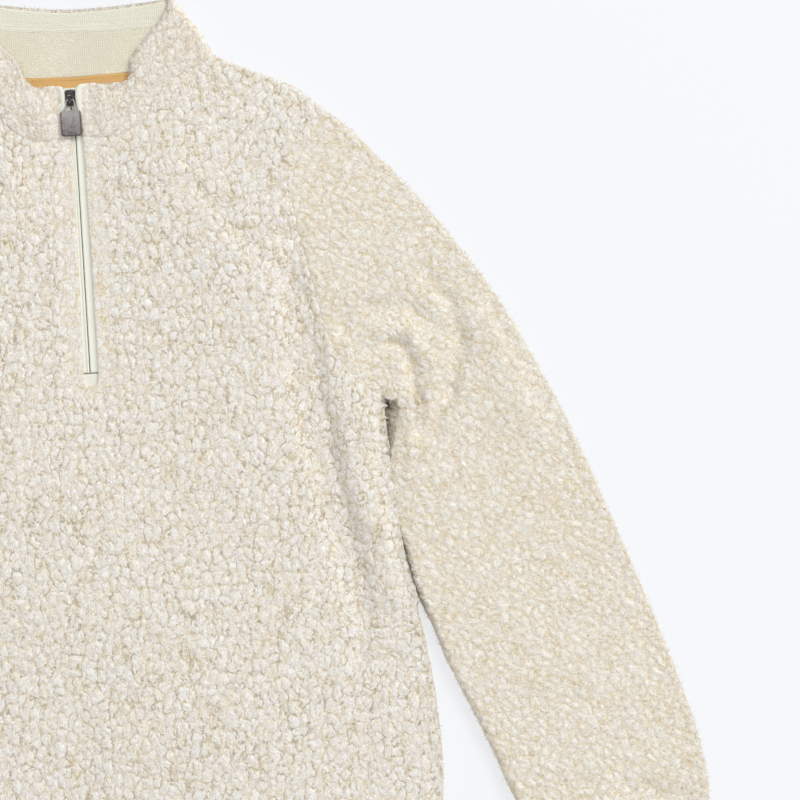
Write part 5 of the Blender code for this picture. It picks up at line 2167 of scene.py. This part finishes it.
@dataclass
class Studio:
    """The floor, the lights and the camera straight above the cloth."""

    view_x: float = 0.2523
    view_y: float = 0.0218
    view_width: float = 0.656
    camera_height: float = 1.55
    cloth_level: float = 0.011
    camera_turn: float = -3.5
    sensor: float = 36.0
    floor_size: float = 6.0
    floor_colour: Colour = srgb(156, 157, 159)
    glow_colour: Colour = srgb(250, 252, 255)
    world_colour: Colour = (0.97, 0.985, 1.0, 1.0)
    world_strength: float = 0.65
    key_place: tuple[float, float, float] = (5.1, 4.2, 5.4)
    key_size: float = 3.6
    key_power: float = 322.0
    floor_glow: float = 0.64

    def build(self) -> None:
        """Sets up everything round the garment."""
        self.build_camera()
        self.build_floor()
        self.build_lights()
        bpy.context.scene.view_settings.view_transform = "Standard"

    def build_camera(self) -> None:
        """A camera that looks straight down, turned a little."""
        data = bpy.data.cameras.new("camera")
        data.sensor_width = self.sensor
        distance = self.camera_height - self.cloth_level
        data.lens = self.sensor * distance / self.view_width
        data.clip_start = 0.1
        data.clip_end = 20.0
        camera = bpy.data.objects.new("camera", data)
        camera.location = (self.view_x, self.view_y, self.camera_height)
        camera.rotation_euler = (0.0, 0.0, math.radians(self.camera_turn))
        bpy.context.scene.collection.objects.link(camera)
        bpy.context.scene.camera = camera

    def build_floor(self) -> None:
        """A plain pale floor, lit a little from below as a light table is."""
        half = self.floor_size / 2
        mesh = bpy.data.meshes.new("floor")
        corners = [(-half, -half, 0.0), (half, -half, 0.0), (half, half, 0.0), (-half, half, 0.0)]
        mesh.from_pydata(corners, [], [(0, 1, 2, 3)])
        material, tree = new_material("floor_paper")
        feeds = {
            "Base Color": self.floor_colour,
            "Emission Color": self.glow_colour,
            "Emission Strength": self.floor_glow,
            "Roughness": 0.95,
            "Specular IOR Level": 0.1,
        }
        dress_shader(tree, feeds)
        add_object("floor", mesh, material)

    def build_lights(self) -> None:
        """A pale world and a wide key light from the upper right, which faces the view's middle."""
        world = bpy.data.worlds.new("studio")
        world.use_nodes = True
        back = world.node_tree.nodes["Background"]
        back.inputs["Color"].default_value = self.world_colour
        back.inputs["Strength"].default_value = self.world_strength
        bpy.context.scene.world = world
        data = bpy.data.lights.new("key", "AREA")
        data.size = self.key_size
        data.energy = self.key_power
        light = bpy.data.objects.new("key", data)
        light.location = self.key_place
        aim = Vector((self.view_x, self.view_y, 0.0)) - Vector(self.key_place)
        light.rotation_euler = aim.to_track_quat("-Z", "Y").to_euler()
        bpy.context.scene.collection.objects.link(light)


SLEEVE_LOOK = {
    "wool": srgb(244, 240, 233),
    "ground": srgb(237, 220, 188),
    # painted shade in the creases between the curls
    "crease": srgb(194, 184, 164),
    "softness": 0.34,
    "crease_depth": 0.36,
    "bump": 0.32,
}
COLLAR_LOOK = {
    "wool": srgb(247, 241, 232),
    "ground": srgb(234, 217, 191),
    "crease_depth": 0.36,
    "bump": 0.4,
}


def remove_startup_objects() -> None:
    """Clears the cube, lamp and camera that a new file holds."""
    for name in ("Cube", "Light", "Camera"):
        if name in bpy.data.objects:
            bpy.data.objects.remove(bpy.data.objects[name], do_unlink=True)


def main() -> None:
    """Builds the pieces in order and reports each."""
    logging.basicConfig(level=logging.INFO, format="%(name)s: %(message)s")
    remove_startup_objects()
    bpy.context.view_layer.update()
    Studio().build()
    body = Fleece("body_finish")
    arm = Fleece("sleeve_finish", 0.0078, -62.0, **SLEEVE_LOOK)
    neck = Fleece("collar_finish", 0.0074, **COLLAR_LOOK)
    panels = BodyPanels(body)
    panels.build_back()
    panels.build_front()
    for side in Side:
        Sleeve(arm, side=side).build()
    Collar(neck).build()
    thread = Plain("cream_thread", srgb(254, 252, 244), srgb(243, 240, 226))
    Lining(Knit("lining_finish"), thread).build()
    mustard = Ribbed("mustard_finish", srgb(232, 187, 122), srgb(208, 159, 93), slant=40.0)
    thread = Plain("mustard_thread", srgb(206, 160, 98), srgb(190, 146, 88))
    NeckTape(mustard, thread).build()
    cream = Ribbed("cream_finish", srgb(248, 247, 235), srgb(238, 236, 219))
    ZipTape(cream, Side.LEFT, lapel=LAPEL_LEFT).build()
    ZipTape(cream, Side.RIGHT, lapel=LAPEL_RIGHT).build()
    ZipTeeth(Plain("teeth_finish", srgb(74, 80, 70), srgb(104, 108, 96), 0.5)).build()
    EndTab(cream).build()
    dress_metal()


if __name__ == "__main__":
    main()
